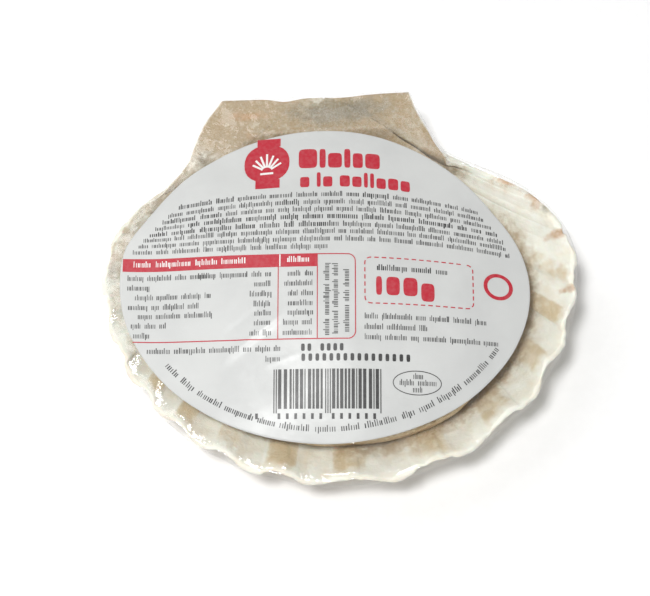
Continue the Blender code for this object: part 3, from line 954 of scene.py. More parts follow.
@dataclass(frozen=True)
class HalfShell:
    """The deep valve: ribbed and riblet-lined outside, fluted inside near its margin."""

    form: ShellForm
    rest: RestPlace
    rib_steps: int = 30
    flank_steps: int = 12
    ear_steps: int = 22
    rows: int = 84
    smallest: float = 0.012
    spacing: float = 1.12
    rim_angles: tuple[float, ...] = (30.0, 58.0, 80.0)
    rim_bulge: float = 0.75
    riblets: int = 6
    riblet_height: float = 0.07 * MM
    line_height: float = 0.05 * MM
    wander: float = 0.012
    ledges: tuple[float, ...] = (0.44, 0.60, 0.74, 0.86, 0.94)
    ledge_rise: float = 0.006
    ledge_length: float = 0.11
    ledge_height: float = 0.16 * MM
    wear: float = 0.30 * MM
    wear_cell: float = 6.0 * MM
    knobs: float = 0.40 * MM
    knob_cell: float = 1.7 * MM
    setback: float = 0.15 * MM
    corner: float = 4.0 * MM
    flute_sizes: tuple[float, float] = (0.72, 0.92)
    flute_ribs: tuple[float, float] = (0.3, 2.4)
    flute_share: float = 0.65
    lumps: tuple[float, float] = (0.10 * MM, 0.28 * MM)
    lump_cell: float = 2.6 * MM
    plate_y: float = 44.0 * MM
    plate_z: float = 1.35 * MM
    plate_middle: tuple[float, float] = (24.0 * MM, 12.0 * MM)
    plate_lumps: float = 0.25 * MM
    plate_blend: float = 0.25 * MM
    plate_reach: float = 16.0 * MM
    middle_slope: float = 1.6
    side_bend: float = 30.0
    steep_from: float = 11.0 * MM
    steep_slope: float = 2.0
    pit_width: float = 2.4 * MM
    pit_depth: float = 0.3 * MM
    hinge_dips: tuple[tuple[float, float, float], ...] = (
        (-12.0 * MM, 3.4 * MM, 0.8 * MM), (1.5 * MM, 6.0 * MM, 0.4 * MM))
    dip_reach: float = 6.0 * MM
    floor: float = 0.15 * MM
    # Painted shade for the label's shadow on the shell, a ring at its lower right: middle, half sizes,
    # strength.
    painted_shade_middle: tuple[float, float] = (-4.0 * MM, 0.4 * MM)
    painted_shade_half: tuple[float, float] = (52.6 * MM, 42.5 * MM)
    painted_shade_strength: float = 0.55
    blotches: tuple[Blotch, ...] = (
        Blotch("rust", 47.0, 29.0, 5.0, 3.5, 0.9),
        Blotch("rust", 52.5, 22.5, 3.0, 4.0, 0.8),
        Blotch("rust", 57.0, 12.0, 3.6, 1.6, 0.8),
        Blotch("rust", 58.5, -3.0, 3.2, 1.2, 0.75),
        Blotch("rust", -22.0, 49.5, 8.0, 2.0, 0.6),
        Blotch("rust", -21.0, 44.0, 3.0, 2.4, 0.5),
        Blotch("grey", 2.0, 50.0, 16.0, 5.0, 0.85),
        Blotch("grey", 55.0, 20.0, 2.0, 2.6, 0.8),
        Blotch("grey", -34.0, 37.0, 4.0, 5.0, 0.5),
        Blotch("sauce", -20.0, 46.0, 17.0, 12.0, 1.0),
        Blotch("sauce", 10.0, 48.0, 15.0, 9.0, 1.0),
        Blotch("sauce", -42.0, 27.0, 12.0, 13.0, 0.42),
        Blotch("sauce", -54.0, 12.0, 7.0, 15.0, 0.30),
        Blotch("sauce", 25.0, 38.5, 11.0, 9.0, 0.8),
        Blotch("grey", 30.0, 33.0, 6.0, 5.0, 0.45),
    )

    def worn_margin(self) -> Margin:
        """The margin with its small knobs and chips, pushed in the plane of the rim.

        Returns:
            The margin's columns in their new places.
        """
        margin = self.form.margin(self.rib_steps, self.flank_steps, self.ear_steps)
        along_x, along_y = np.gradient(margin.x), np.gradient(margin.y)
        step = np.hypot(along_x, along_y)
        arc = np.cumsum(step)
        push = self.wear * soft_noise(arc, 0.0 * arc, self.wear_cell, 11) - self.setback
        push = push + self.knobs * soft_noise(arc, 0.0 * arc, self.knob_cell, 12) * margin.amount
        from_end = np.minimum(arc, arc[-1] - arc)
        push = push * smooth_step(0.0, self.corner, from_end) / step
        return replace(margin, x=margin.x + along_y * push, y=margin.y - along_x * push)

    def outer_relief(self, margin: Margin, sizes: np.ndarray) -> np.ndarray:
        """Fine relief of the back.

        Riblets are a cosine across each rib. Growth lines are noise along the size, and each
        ledge is a step down that rises again over the next tenth of the size.

        Args:
            margin: the columns.
            sizes: the rows.

        Returns:
            Height outward for each row and column.
        """
        size = sizes[:, None]
        column = np.arange(len(margin.ribs))[None, :] / self.rib_steps
        fine = self.riblet_height * np.cos(2.0 * math.pi * self.riblets * column)
        fine = fine * size * (0.7 + 0.5 * soft_noise(column * 1.3, size * 9.0, 1.0, 21))
        wandering = size + self.wander * soft_noise(column * 0.8, 0.0 * size, 1.0, 22)
        lines = self.line_height * soft_noise(wandering * 70.0, column * 0.15, 1.0, 23)
        steps = sum(smooth_step(0.0, self.ledge_rise, wandering - ledge)
                    * smooth_step(self.ledge_length, self.ledge_rise, wandering - ledge)
                    for ledge in self.ledges)
        return fine + lines - self.ledge_height * steps * np.clip(size * 1.2, 0.0, 1.0)

    def rim_rows(self, outer: np.ndarray, inner: np.ndarray,
                 along: np.ndarray) -> tuple[np.ndarray, np.ndarray]:
        """Rows that round the rim off, on half an ellipse from the outer face to the inner.

        Args:
            outer: the outer face's last row.
            inner: the inner face's last row.
            along: the way the shell grows there.

        Returns:
            More rows for the outer face, and for the inner one.
        """
        middle, half = 0.5 * (outer + inner), 0.5 * (outer - inner)
        angles = np.radians(self.rim_angles)[:, None, None]
        radius = np.linalg.norm(half, axis=-1, keepdims=True)
        reach = along / np.linalg.norm(along, axis=-1, keepdims=True) * radius * self.rim_bulge
        bulge = middle + reach * np.sin(angles)
        return bulge + half * np.cos(angles), bulge - half * np.cos(angles)

    def grids(self) -> tuple[np.ndarray, np.ndarray, Margin, np.ndarray]:
        """Outer and inner faces, row by row, with the rounding of the rim.

        Returns:
            Outer points, inner points, the margin and the size of each row.
        """
        form, margin = self.form, self.worn_margin()
        shares = np.linspace(0.0, 1.0, self.rows) ** self.spacing
        sizes = self.smallest + (1.0 - self.smallest) * shares
        plain = form.plain(margin, sizes)
        normal, size = outward(plain), sizes[:, None]
        rib = form.rib_height * form.rib_wave(margin.ribs) * margin.amount * size
        high = rib + self.outer_relief(margin, sizes)
        fluted = smooth_step(*self.flute_sizes, size)
        from_edge = np.minimum(margin.ribs, form.ribs - margin.ribs)
        flutes = self.flute_share * fluted * smooth_step(*self.flute_ribs, from_edge)
        lumps = self.lumps[0] + self.lumps[1] * smooth_step(0.86, 0.96, size)
        lumps = lumps * soft_noise(plain[..., 0], plain[..., 1], self.lump_cell, 31) * fluted
        low = rib * flutes - form.walls(margin, sizes) + lumps
        outer, inner = plain + normal * high[..., None], plain + normal * low[..., None]
        more_outer, more_inner = self.rim_rows(outer[-1], inner[-1], plain[-1] - plain[-2])
        outer, inner = np.concatenate([outer, more_outer]), np.concatenate([inner, more_inner])
        return outer, self.with_hinge(inner), margin, np.append(sizes, np.ones(len(more_outer)))

    def with_hinge(self, inner: np.ndarray) -> np.ndarray:
        """Raise the inner face to the hinge plate, and press the ligament's pit into it.

        The plate is level behind its front edge and falls steeply in front of it. The higher of
        the face and the plate is taken, blended over a fraction of a millimetre.

        Args:
            inner: the inner face.

        Returns:
            The face with its plate.
        """
        x, y, z = np.moveaxis(inner, -1, 0)
        beak_x, beak_y = self.form.beak
        front = np.maximum(self.plate_y - y, 0.0)
        centre = smooth_step(*self.plate_middle, np.abs(x - beak_x))
        drop = self.middle_slope * front * centre + self.side_bend * front ** 2 * (1.0 - centre)
        drop = drop + self.steep_slope * np.maximum(front - self.steep_from, 0.0)
        plate = self.plate_z - drop - self.plate_lumps * soft_noise(x, y, 5.0 * MM, 41) ** 2
        raised = self.plate_blend * np.logaddexp(z / self.plate_blend, plate / self.plate_blend)
        raised = np.where(front < self.plate_reach, raised, z)
        pit = np.exp(-((x - beak_x) / self.pit_width) ** 2)
        pit = pit * smooth_step(self.plate_y, self.plate_y + 3.0 * MM, y)
        pit = pit * smooth_step(beak_y + 0.4 * MM, beak_y - 1.2 * MM, y)
        return np.stack([x, y, raised - self.pit_depth * pit], axis=-1)

    def dipped(self, face: np.ndarray) -> np.ndarray:
        """Let a face's hinge edge sag in shallow bells that fade away from the hinge.

        Args:
            face: rows and columns of points.

        Returns:
            The sagging face.
        """
        x, y, z = np.moveaxis(face, -1, 0)
        bells = sum(dip * np.exp(-((x - at) / width) ** 2) for at, width, dip in self.hinge_dips)
        close = smooth_step(self.dip_reach, 0.0, self.form.beak[1] - y)
        return np.stack([x, y - bells * close, z], axis=-1)

    def zones(self, x: np.ndarray, y: np.ndarray, ribs: np.ndarray,
              sizes: np.ndarray) -> dict[str, np.ndarray]:
        """Weights of the stained zones on both faces.

        Tan lies in the grooves, but for the white end of each, and mostly below the middle. Painted
        shade for the label's shadow lies in a ring around the label at its lower right, with the sauce
        stains.

        Args:
            x: points across.
            y: points up.
            ribs: their places counted in ribs.
            sizes: their sizes.

        Returns:
            A weight for each point, by the zone's name.
        """
        groove = smooth_step(0.15, -0.35, self.form.rib_wave(ribs))
        some = 0.78 + 0.6 * soft_noise(ribs, 0.0 * ribs, 1.3, 51)
        white_end = 0.15 + 0.85 * smooth_step(1.0, 0.972, sizes)
        below = 0.2 + 0.8 * smooth_step(14.0 * MM, -8.0 * MM, y)
        tan = groove * some * smooth_step(0.6, 0.9, sizes) * white_end * below
        # Painted shade: a darker ring just outside the label, at its lower right, standing for the
        # label's shadow on the shell.
        across = (x - self.painted_shade_middle[0]) / self.painted_shade_half[0]
        up = (y - self.painted_shade_middle[1]) / self.painted_shade_half[1]
        painted_shade = smooth_step(1.10, 0.98, np.hypot(across, up))
        painted_shade = painted_shade * smooth_step(-12.0 * MM, 12.0 * MM, x)
        painted_shade = painted_shade * smooth_step(10.0 * MM, -20.0 * MM, y - 0.5 * x)
        weights = {"tan": np.broadcast_to(tan, x.shape), "rust": np.zeros(x.shape),
                   "grey": np.zeros(x.shape), "sauce": self.painted_shade_strength * painted_shade}
        for blotch in self.blotches:
            weights[blotch.zone] = np.maximum(weights[blotch.zone], blotch.weight(x, y))
        return weights

    def build(self) -> bpy.types.Object:
        """Make the closed shell: each row is a loop of the outer face and back along the inner.

        Returns:
            The piece, with its zones, its inside and its UV map.
        """
        outer, inner, margin, sizes = self.grids()
        loop = np.concatenate([self.dipped(outer), self.dipped(inner)[:, ::-1]], axis=1)
        rows, columns = loop.shape[:2]
        width = outer.shape[1]
        across = np.arange(width - 1)
        ends = [np.stack([base + across, base + across + 1, base + columns - 2 - across,
                          base + columns - 1 - across], axis=-1)
                for base in (0, (rows - 1) * columns)]
        points = self.rest.place(loop, self.floor)
        shell = mesh_object("half_shell", points.reshape(-1, 3),
                            [grid_quads(rows, columns, True), *ends])

        ribs = np.concatenate([margin.ribs, margin.ribs[::-1]])[None, :]
        size = np.broadcast_to(sizes[:, None], loop.shape[:2])
        inside = np.zeros(loop.shape[:2])
        inside[:, width:] = 1.0
        inside[-len(self.rim_angles):] = 0.5
        for zone, weight in self.zones(loop[..., 0], loop[..., 1], ribs, size).items():
            front = inside if zone in ("sauce", "grey") else 1.0
            add_attribute(shell, f"{zone}_zone", weight * front)
        add_attribute(shell, "inside", inside)
        add_uv(shell, np.broadcast_to(ribs / (self.form.ribs + 1), size.shape), size)
        return finished(shell, ShellFinish().build())


@dataclass(frozen=True)
class FillingMound:
    """The crumbed filling: it follows the bowl below and the film above."""

    form: ShellForm
    rest: RestPlace
    dome: Dome
    half: tuple[float, float, float] = (51.0 * MM, 42.2 * MM, 40.0 * MM)
    right_half: float = 46.3 * MM
    bends: tuple[float, float] = (2.15, 1.45)
    unevenness: float = 0.012
    edge_fall: float = 2.6 * MM
    fall_power: float = 6.0
    crumbs: float = 0.55 * MM
    crumb_cell: float = 3.4 * MM
    gap: float = 0.3 * MM
    rounds: int = 60
    columns: int = 300
    rings: int = 90
    under_rings: int = 24

    def outline(self) -> tuple[np.ndarray, np.ndarray]:
        """An oval whose far half is rounder than its pointed hinge half.

        Returns:
            Offsets of its points from its middle, anticlockwise from +X.
        """
        angle = np.arange(self.columns) * 2.0 * math.pi / self.columns
        cosine, sine = np.cos(angle), np.sin(angle)
        power = 2.0 / np.where(sine < 0.0, self.bends[0], self.bends[1])
        across = np.where(cosine > 0.0, self.right_half, self.half[0])
        x = np.sign(cosine) * np.abs(cosine) ** power * across
        y = np.sign(sine) * np.abs(sine) ** power * np.where(sine < 0.0, *self.half[1:])
        uneven = 1.0 + self.unevenness * soft_noise(12.0 * cosine, 12.0 * sine, 2.0, 61)
        return x * uneven, y * uneven

    def bowl_depth(self, x: np.ndarray, y: np.ndarray) -> np.ndarray:
        """Depth of the shell's plain outer face under points of the rim's plane.

        The size is found by repeated steps: the point, its distance from the hinge stretched by
        the turn at the last size, is compared with the margin in the same direction.

        Args:
            x: points across.
            y: points up.

        Returns:
            The depths.
        """
        beak = self.form.beak
        margin = self.form.margin(12, 6, 10)
        bearing = np.arctan2(beak[1] - margin.y, margin.x - beak[0])[::-1]
        reach = np.hypot(margin.x - beak[0], beak[1] - margin.y)[::-1]
        full = margin.fullness[::-1]
        size = np.full(np.shape(x), 0.6)
        for _ in range(self.rounds):
            down = (beak[1] - y) / np.cos(self.form.growth(size))
            angle = np.arctan2(down, x - beak[0])
            edge = np.interp(angle, bearing, reach)
            size = 0.5 * size + 0.5 * np.clip(np.hypot(x - beak[0], down) / edge, 0.02, 1.0)
        turn = self.form.growth(size)
        return size * np.sin(turn) * np.interp(angle, bearing, full) * np.sin(angle) * edge

    def floor_height(self, x: np.ndarray, y: np.ndarray) -> np.ndarray:
        """Height of the filling's underside: the bowl's inner face plus a gap.

        The wall is measured at right angles to the face, so it counts for more where that slopes.

        Args:
            x: points across.
            y: points up.

        Returns:
            The heights.
        """
        step = 0.5 * MM
        slope_x = (self.bowl_depth(x + step, y) - self.bowl_depth(x - step, y)) / (2.0 * step)
        slope_y = (self.bowl_depth(x, y + step) - self.bowl_depth(x, y - step)) / (2.0 * step)
        clear = self.form.wall + 2.0 * self.gap
        return clear * np.sqrt(1.0 + slope_x ** 2 + slope_y ** 2) - self.bowl_depth(x, y)

    def build(self) -> bpy.types.Object:
        """Make the closed mound, ring by ring from below and back over the top.

        Returns:
            The piece.
        """
        edge_x, edge_y = self.outline()
        under = np.linspace(TINY_RING, 1.0, self.under_rings)[:, None]
        over = np.linspace(1.0, TINY_RING, self.rings)[:, None]
        low_x, low_y = edge_x * under, self.dome.centre_y + edge_y * under
        top_x, top_y = edge_x * over, self.dome.centre_y + edge_y * over
        low_z = self.floor_height(low_x, low_y)
        relief = self.crumbs * (0.5 + 0.5 * layered_noise(top_x, top_y, self.crumb_cell, 71, 4))
        relief = relief * (0.35 + 0.65 * smooth_step(1.0, 0.93, over))
        fall = self.edge_fall * over ** self.fall_power
        top_z = self.dome.plain(top_x, top_y) - 2.0 * self.gap - fall - relief
        grid = np.concatenate([np.stack([low_x, low_y, low_z], axis=-1),
                               np.stack([top_x, top_y, top_z], axis=-1)])
        rows, columns = grid.shape[:2]
        mound = mesh_object("filling_mound", self.rest.place(grid).reshape(-1, 3),
                            [grid_quads(rows, columns, True), *ring_caps(rows, columns)])
        return finished(mound, FillingFinish().build())


@dataclass(frozen=True)
class ClearFilm:
    """One envelope of shrink film: domed over the filling, rolled over the rim, tight below."""

    form: ShellForm
    rest: RestPlace
    dome: Dome
    lift: float = 0.65 * MM
    gap: float = 0.3 * MM
    webs: tuple[float, float] = (0.3 * MM, 0.6 * MM)
    web_way: tuple[float, float] = (0.97, 0.24)
    web_spread: float = 1.35
    web_columns: int = 8
    web_power: float = 6.0
    bridge: float = 0.35
    crinkle: float = 0.12 * MM
    wrinkle: float = 0.22 * MM
    wrinkle_cells: tuple[float, float] = (3.1 * MM, 1.6 * MM)
    rib_steps: int = 16
    flank_steps: int = 8
    ear_steps: int = 12
    rows: int = 56
    spacing: float = 1.2
    rings: int = 84
    ring_spacing: float = 1.15
    smallest: float = 0.045
    floor: float = 0.02 * MM

    def back(self, margin: Margin, sizes: np.ndarray) -> tuple[np.ndarray, np.ndarray]:
        """The film on the shell's back, which spans most of each groove.

        Args:
            margin: the columns.
            sizes: the rows, largest first.

        Returns:
            Its points, and the shell's outward normals there.
        """
        plain = self.form.plain(margin, sizes)
        normal = outward(plain)
        wave = self.form.rib_wave(margin.ribs)
        rise = self.form.rib_height * (0.5 - self.bridge * (0.5 - wave)) * margin.amount
        column = np.arange(len(margin.ribs))[None, :] / self.rib_steps
        crinkle = 1.0 + soft_noise(column * 2.0, sizes[:, None] * 26.0, 1.0, 81)
        height = rise * sizes[:, None] + self.gap + self.crinkle * crinkle
        return self.webbed(plain + normal * height[..., None]), normal

    def webbed(self, back: np.ndarray) -> np.ndarray:
        """The back, standing out across each notch as half a sine, less with each smaller row.

        Args:
            back: its points, largest row first.

        Returns:
            The same points, pushed sideways near the notches.
        """
        rows, columns = back.shape[:2]
        reach = self.ear_steps + self.flank_steps
        share = np.clip(np.arange(columns) / (self.web_spread * reach), 0.0, 1.0)
        spread = np.sin(math.pi * share)
        web = spread * self.webs[0] + spread[::-1] * self.webs[1]
        web = web * np.linspace(1.0, 0.0, rows)[:, None] ** self.web_power
        side = np.zeros((columns, 3))
        side[:reach + self.web_columns, :2] = (-self.web_way[0], self.web_way[1])
        side[-reach - self.web_columns:, :2] = self.web_way
        return back + side * web[..., None]

    def over(self, lip: np.ndarray) -> np.ndarray:
        """The film over the top, ring by ring from the lip to the middle.

        It takes the dome's height inside, the lip's at the rim, and fine wrinkles between.

        Args:
            lip: the loop of points just inside the rim.

        Returns:
            Rings of points.
        """
        share = 1.0 - np.linspace(0.0, 1.0, self.rings + 1)[1:, None] ** self.ring_spacing
        share = np.maximum(share, TINY_RING)
        x = lip[:, 0] * share
        y = self.dome.centre_y + (lip[:, 1] - self.dome.centre_y) * share
        near = smooth_step(0.83, 1.0, share)
        steps = np.diff(lip[:, :2], axis=0, append=lip[:1, :2])
        arc = np.cumsum(np.linalg.norm(steps, axis=1))[None, :] + 0.0 * share
        folds = soft_noise(arc, share * 60.0 * MM, self.wrinkle_cells[0], 91)
        folds = folds + 0.6 * soft_noise(arc, share * 20.0 * MM, self.wrinkle_cells[1], 92)
        band = smooth_step(0.70, 0.90, share) * smooth_step(1.0, 0.955, share)
        domed = (self.dome.height(x, y) + self.lift) * (1.0 - near)
        return np.stack([x, y, domed + lip[:, 2] * near + self.wrinkle * folds * band], axis=-1)

    def build(self) -> bpy.types.Object:
        """Make the closed envelope: the back, a roll round the rim, a lip and the top.

        Returns:
            The piece.
        """
        form = self.form
        margin = form.margin(self.rib_steps, self.flank_steps, self.ear_steps)
        shares = np.linspace(1.0, 0.0, self.rows) ** self.spacing
        sizes = self.smallest + (1.0 - self.smallest) * shares
        back, normal = self.back(margin, sizes)
        rows, columns = back.shape[:2]
        count = rows * columns

        beak = np.array([[form.beak[0], form.beak[1] + self.gap, -2.0 * self.gap]])
        start = np.arange(1, rows) * columns
        loop = np.concatenate([np.arange(columns), start + columns - 1, [count], start[::-1]])
        points = np.concatenate([back.reshape(-1, 3), beak])
        inward = -np.concatenate([normal.reshape(-1, 3), [[0.0, 0.0, -1.0]]])[loop]
        plain = form.plain(margin, sizes)
        growth = plain[0] - plain[1]
        away = np.tile([0.0, 1.0, 0.0], (len(loop), 1))
        away[:columns] = growth / np.linalg.norm(growth, axis=-1, keepdims=True)
        walls = np.append(form.walls(margin, sizes).reshape(-1), self.gap)[loop][:, None]
        low = points[loop]
        roll = low + inward * (0.5 * walls + self.gap) + away * (0.45 * walls + self.gap)
        lip = low + inward * (walls + 2.6 * self.gap) + away * 0.1 * walls

        base, width = count + 1, len(loop)
        rolled = np.arange(width) + base
        strip = np.stack([loop, np.roll(loop, -1), np.roll(rolled, -1), rolled], axis=-1)
        tiny = (rows - 1) * columns + np.arange(columns - 1)
        fan = np.stack([tiny, tiny + 1, np.full(columns - 1, count)], axis=-1)
        cap = ring_caps(self.rings + 2, width)[1] + base
        points = np.concatenate([points, roll, lip, self.over(lip).reshape(-1, 3)])
        film = mesh_object("clear_film", self.rest.place(points, self.floor),
                           [grid_quads(rows, columns, False), fan, strip,
                            grid_quads(self.rings + 2, width, True) + base, cap])
        return finished(film, FilmFinish().build())


# ---------------------------------------------------------------- the label and its print


@dataclass(frozen=True)
class LabelPlan:
    """Places on the label: p along its printed lines and q up them, from its middle."""

    rest: RestPlace
    dome: Dome
    centre: tuple[float, float] = (-4.0 * MM, 0.4 * MM)
    turn: float = math.radians(3.2)
    lift: float = 0.95 * MM
    right_droop: tuple[float, float, float] = (0.9, 20.0 * MM, 3.0)
    left_droop: tuple[float, float] = (-0.4, 2.1)

    def rim(self, p: np.ndarray, q: np.ndarray) -> tuple[np.ndarray, np.ndarray]:
        """Places in the rim's plane of points on the label.

        The lines droop with the square of p where the label follows the dome, more to the right
        and more near the top, and then the whole label is turned a little clockwise.

        Args:
            p: points along.
            q: points up.

        Returns:
            x and y.
        """
        usual, growth, most = self.right_droop
        right = np.minimum(usual * np.exp(q / growth), most)
        left = self.left_droop[0] + self.left_droop[1] * smooth_step(5.0 * MM, 25.0 * MM, q)
        drooped = q - np.where(p > 0.0, right, left) * p * p
        cosine, sine = math.cos(self.turn), math.sin(self.turn)
        return (self.centre[0] + p * cosine + drooped * sine,
                self.centre[1] - p * sine + drooped * cosine)

    def points(self, p: np.ndarray, q: np.ndarray, above: float) -> np.ndarray:
        """Points over the label's upper face, in the row's frame.

        Args:
            p: places along.
            q: places up.
            above: height over that face.

        Returns:
            The points.
        """
        x, y = self.rim(p, q)
        z = self.dome.height(x, y) + self.lift + above
        return self.rest.place(np.stack([x, y, z], axis=-1))


@dataclass(frozen=True)
class OvalLabel:
    """The label: a thin sheet laid on the film's dome."""

    plan: LabelPlan
    half: tuple[float, float] = (52.5 * MM, 42.3 * MM)
    middle: tuple[float, float] = (-0.3 * MM, 0.2 * MM)
    thickness: float = 0.18 * MM
    edge_bulge: float = 0.0012
    unevenness: float = 0.0022
    columns: int = 320
    rings: int = 100

    def edge(self) -> tuple[np.ndarray, np.ndarray]:
        """The cut edge: an ellipse with a trace of waviness.

        Returns:
            p and q of its points, from the label's middle.
        """
        angle = np.arange(self.columns) * 2.0 * math.pi / self.columns
        cosine, sine = np.cos(angle), np.sin(angle)
        uneven = 1.0 + self.unevenness * soft_noise(9.0 * cosine, 9.0 * sine, 2.0, 101)
        return self.half[0] * cosine * uneven, self.half[1] * sine * uneven

    def build(self) -> bpy.types.Object:
        """Make the closed sheet: rings from the middle out on top and back in underneath.

        Returns:
            The piece.
        """
        edge_p, edge_q = self.edge()
        share = np.linspace(TINY_RING, 1.0, self.rings)[:, None]
        share = np.concatenate([share, [[1.0 + self.edge_bulge]], share[::-1]])
        above = np.zeros_like(share)
        above[self.rings] = -0.5 * self.thickness
        above[self.rings + 1:] = -self.thickness
        p, q = self.middle[0] + edge_p * share, self.middle[1] + edge_q * share
        grid = self.plan.points(p, q, above)
        rows, columns = grid.shape[:2]
        label = mesh_object("oval_label", grid.reshape(-1, 3),
                            [grid_quads(rows, columns, True), *ring_caps(rows, columns)])
        return finished(label, LabelFinish().build())


@dataclass(frozen=True)
class Baseline:
    """A straight line that marks stand on: from a start, at an angle. In millimetres."""

    start: tuple[float, float]
    angle: float = 0.0

    def at(self, along: np.ndarray, up: np.ndarray) -> tuple[np.ndarray, np.ndarray]:
        """Place of points a distance along the line and up from it.

        Args:
            along: the distances along.
            up: the distances up.

        Returns:
            p and q.
        """
        cosine, sine = math.cos(self.angle), math.sin(self.angle)
        return (self.start[0] + along * cosine - up * sine,
                self.start[1] + along * sine + up * cosine)


@dataclass(frozen=True)
class BowedBaseline:
    """A line along the lower part of an ellipse, from left to right. In millimetres."""

    middle: tuple[float, float]
    half: tuple[float, float]
    first: float
    samples: int = 400

    def at(self, along: np.ndarray, up: np.ndarray) -> tuple[np.ndarray, np.ndarray]:
        """Place of points a distance along the ellipse and up from it, toward its middle.

        Args:
            along: the distances along the arc.
            up: the distances up.

        Returns:
            p and q.
        """
        table = np.linspace(self.first, self.first + math.pi, self.samples)
        tx, ty = self.half[0] * np.cos(table), self.half[1] * np.sin(table)
        arc = np.append(0.0, np.cumsum(np.hypot(np.diff(tx), np.diff(ty))))
        angle = np.interp(along, arc, table)
        normal_x, normal_y = np.cos(angle) / self.half[0], np.sin(angle) / self.half[1]
        length = np.hypot(normal_x, normal_y)
        return (self.middle[0] + self.half[0] * np.cos(angle) - up * normal_x / length,
                self.middle[1] + self.half[1] * np.sin(angle) - up * normal_y / length)


@dataclass
class InkLayer:
    """Everything printed in one ink, gathered as patches and made into one piece.

    Places, sizes and the cell are in millimetres, p and q from the label's middle. Its own height
    above the label and its depth are in metres.
    """

    ink: Ink
    plan: LabelPlan
    above: float = 0.05 * MM
    depth: float = 0.07 * MM
    cell: float = 1.2
    points: list[np.ndarray] = field(default_factory=list)
    faces: list[np.ndarray] = field(default_factory=list)
    count: int = 0

    def patches(self, p: np.ndarray, q: np.ndarray) -> None:
        """Add thin closed plates that follow the label.

        Args:
            p: for each patch, a grid of places along.
            q: the same, up.
        """
        number, rows, columns = p.shape
        top, low = (self.plan.points(p * MM, q * MM, height).reshape(number, -1, 3)
                    for height in (self.above, self.above - self.depth))
        size = rows * columns
        sheet = grid_quads(rows, columns, False)
        index = np.arange(size).reshape(rows, columns)
        rim = np.concatenate([index[0, :-1], index[:-1, -1], index[-1, :0:-1], index[:0:-1, 0]])
        after = np.roll(rim, -1)
        wall = np.stack([rim + size, after + size, after, rim], axis=-1)
        one = np.concatenate([sheet, sheet[:, ::-1] + size, wall])
        start = self.count + 2 * size * np.arange(number)[:, None, None]
        self.points.append(np.concatenate([top, low], axis=1).reshape(-1, 3))
        self.faces.append((one[None] + start).reshape(-1, 4))
        self.count += 2 * size * number

    def bar(self, p0: float, q0: float, p1: float, q1: float) -> None:
        """A plain rectangle, cut fine enough to follow the label.

        Args:
            p0: one corner's place along.
            q0: its height.
            p1: the opposite corner's place along.
            q1: its height.
        """
        columns, rows = int(abs(p1 - p0) / self.cell) + 2, int(abs(q1 - q0) / self.cell) + 2
        p, q = np.meshgrid(np.linspace(p0, p1, columns), np.linspace(q0, q1, rows))
        self.patches(p[None], q[None])

    def field_of(self, middle: tuple[float, float], half: tuple[float, float],
                 roundness: float) -> None:
        """A filled superellipse: its width at each height is one less the height to a power.

        A sliver at each end is cut off, so that no face is without area.

        Args:
            middle: its middle.
            half: its half sizes.
            roundness: 2 for an oval, more for a rounded box.
        """
        rise = np.sin(np.linspace(-0.5, 0.5, 15) * math.pi * 0.985)
        width = (1.0 - np.abs(rise) ** roundness) ** (1.0 / roundness)
        columns = max(3, int(2.0 * half[0]) + 2)
        p = middle[0] + half[0] * width[:, None] * np.linspace(-1.0, 1.0, columns)
        q = np.broadcast_to(middle[1] + half[1] * rise[:, None], p.shape)
        self.patches(p[None], q[None])

    def stroke(self, p: np.ndarray, q: np.ndarray, width: float) -> None:
        """A line of even width along a path.

        Args:
            p: the path's places along.
            q: its places up.
            width: the line's width.
        """
        along_p, along_q = np.gradient(p), np.gradient(q)
        half = 0.5 * width / np.hypot(along_p, along_q)
        off_p, off_q = -half * along_q, half * along_p
        self.patches(np.stack([p - off_p, p + off_p])[None], np.stack([q - off_q, q + off_q])[None])

    def ring(self, middle: tuple[float, float], half: tuple[float, float], width: float) -> None:
        """An oval outline of even width."""
        angle = np.linspace(0.0, 2.0 * math.pi, 61)
        self.stroke(middle[0] + half[0] * np.cos(angle), middle[1] + half[1] * np.sin(angle), width)

    def marks(self, line: Baseline | BowedBaseline, along: np.ndarray, half: np.ndarray,
              low: np.ndarray, high: np.ndarray) -> None:
        """Small upright marks on a line.

        Args:
            line: what they stand on.
            along: the middle of each.
            half: half its width.
            low: its foot, up from the line.
            high: its head.
        """
        across = along[:, None] + half[:, None] * np.array([-1.0, 1.0])
        up = np.stack([low, high], axis=-1)
        along_grid = np.broadcast_to(across[:, None, :], (len(along), 2, 2))
        up_grid = np.broadcast_to(up[:, :, None], (len(along), 2, 2))
        self.patches(*line.at(along_grid, up_grid))

    def build(self) -> bpy.types.Object:
        """Make the piece, with flat faces."""
        piece = mesh_object(self.ink.piece, np.concatenate(self.points), self.faces, smooth=False)
        return finished(piece, self.ink.build())


class Weight(Enum):
    """How heavy a line of small marks is: pitch, half width and height, in millimetres."""

    LIGHT = (0.43, 0.100, 1.05)
    BOLD = (0.52, 0.140, 1.12)
    OPEN = (0.60, 0.125, 1.15)

    @property
    def pitch(self) -> float:
        """Distance from mark to mark."""
        return self.value[0]

    @property
    def half_width(self) -> float:
        """Half of a mark's usual width."""
        return self.value[1]

    @property
    def height(self) -> float:
        """Height of a low mark."""
        return self.value[2]


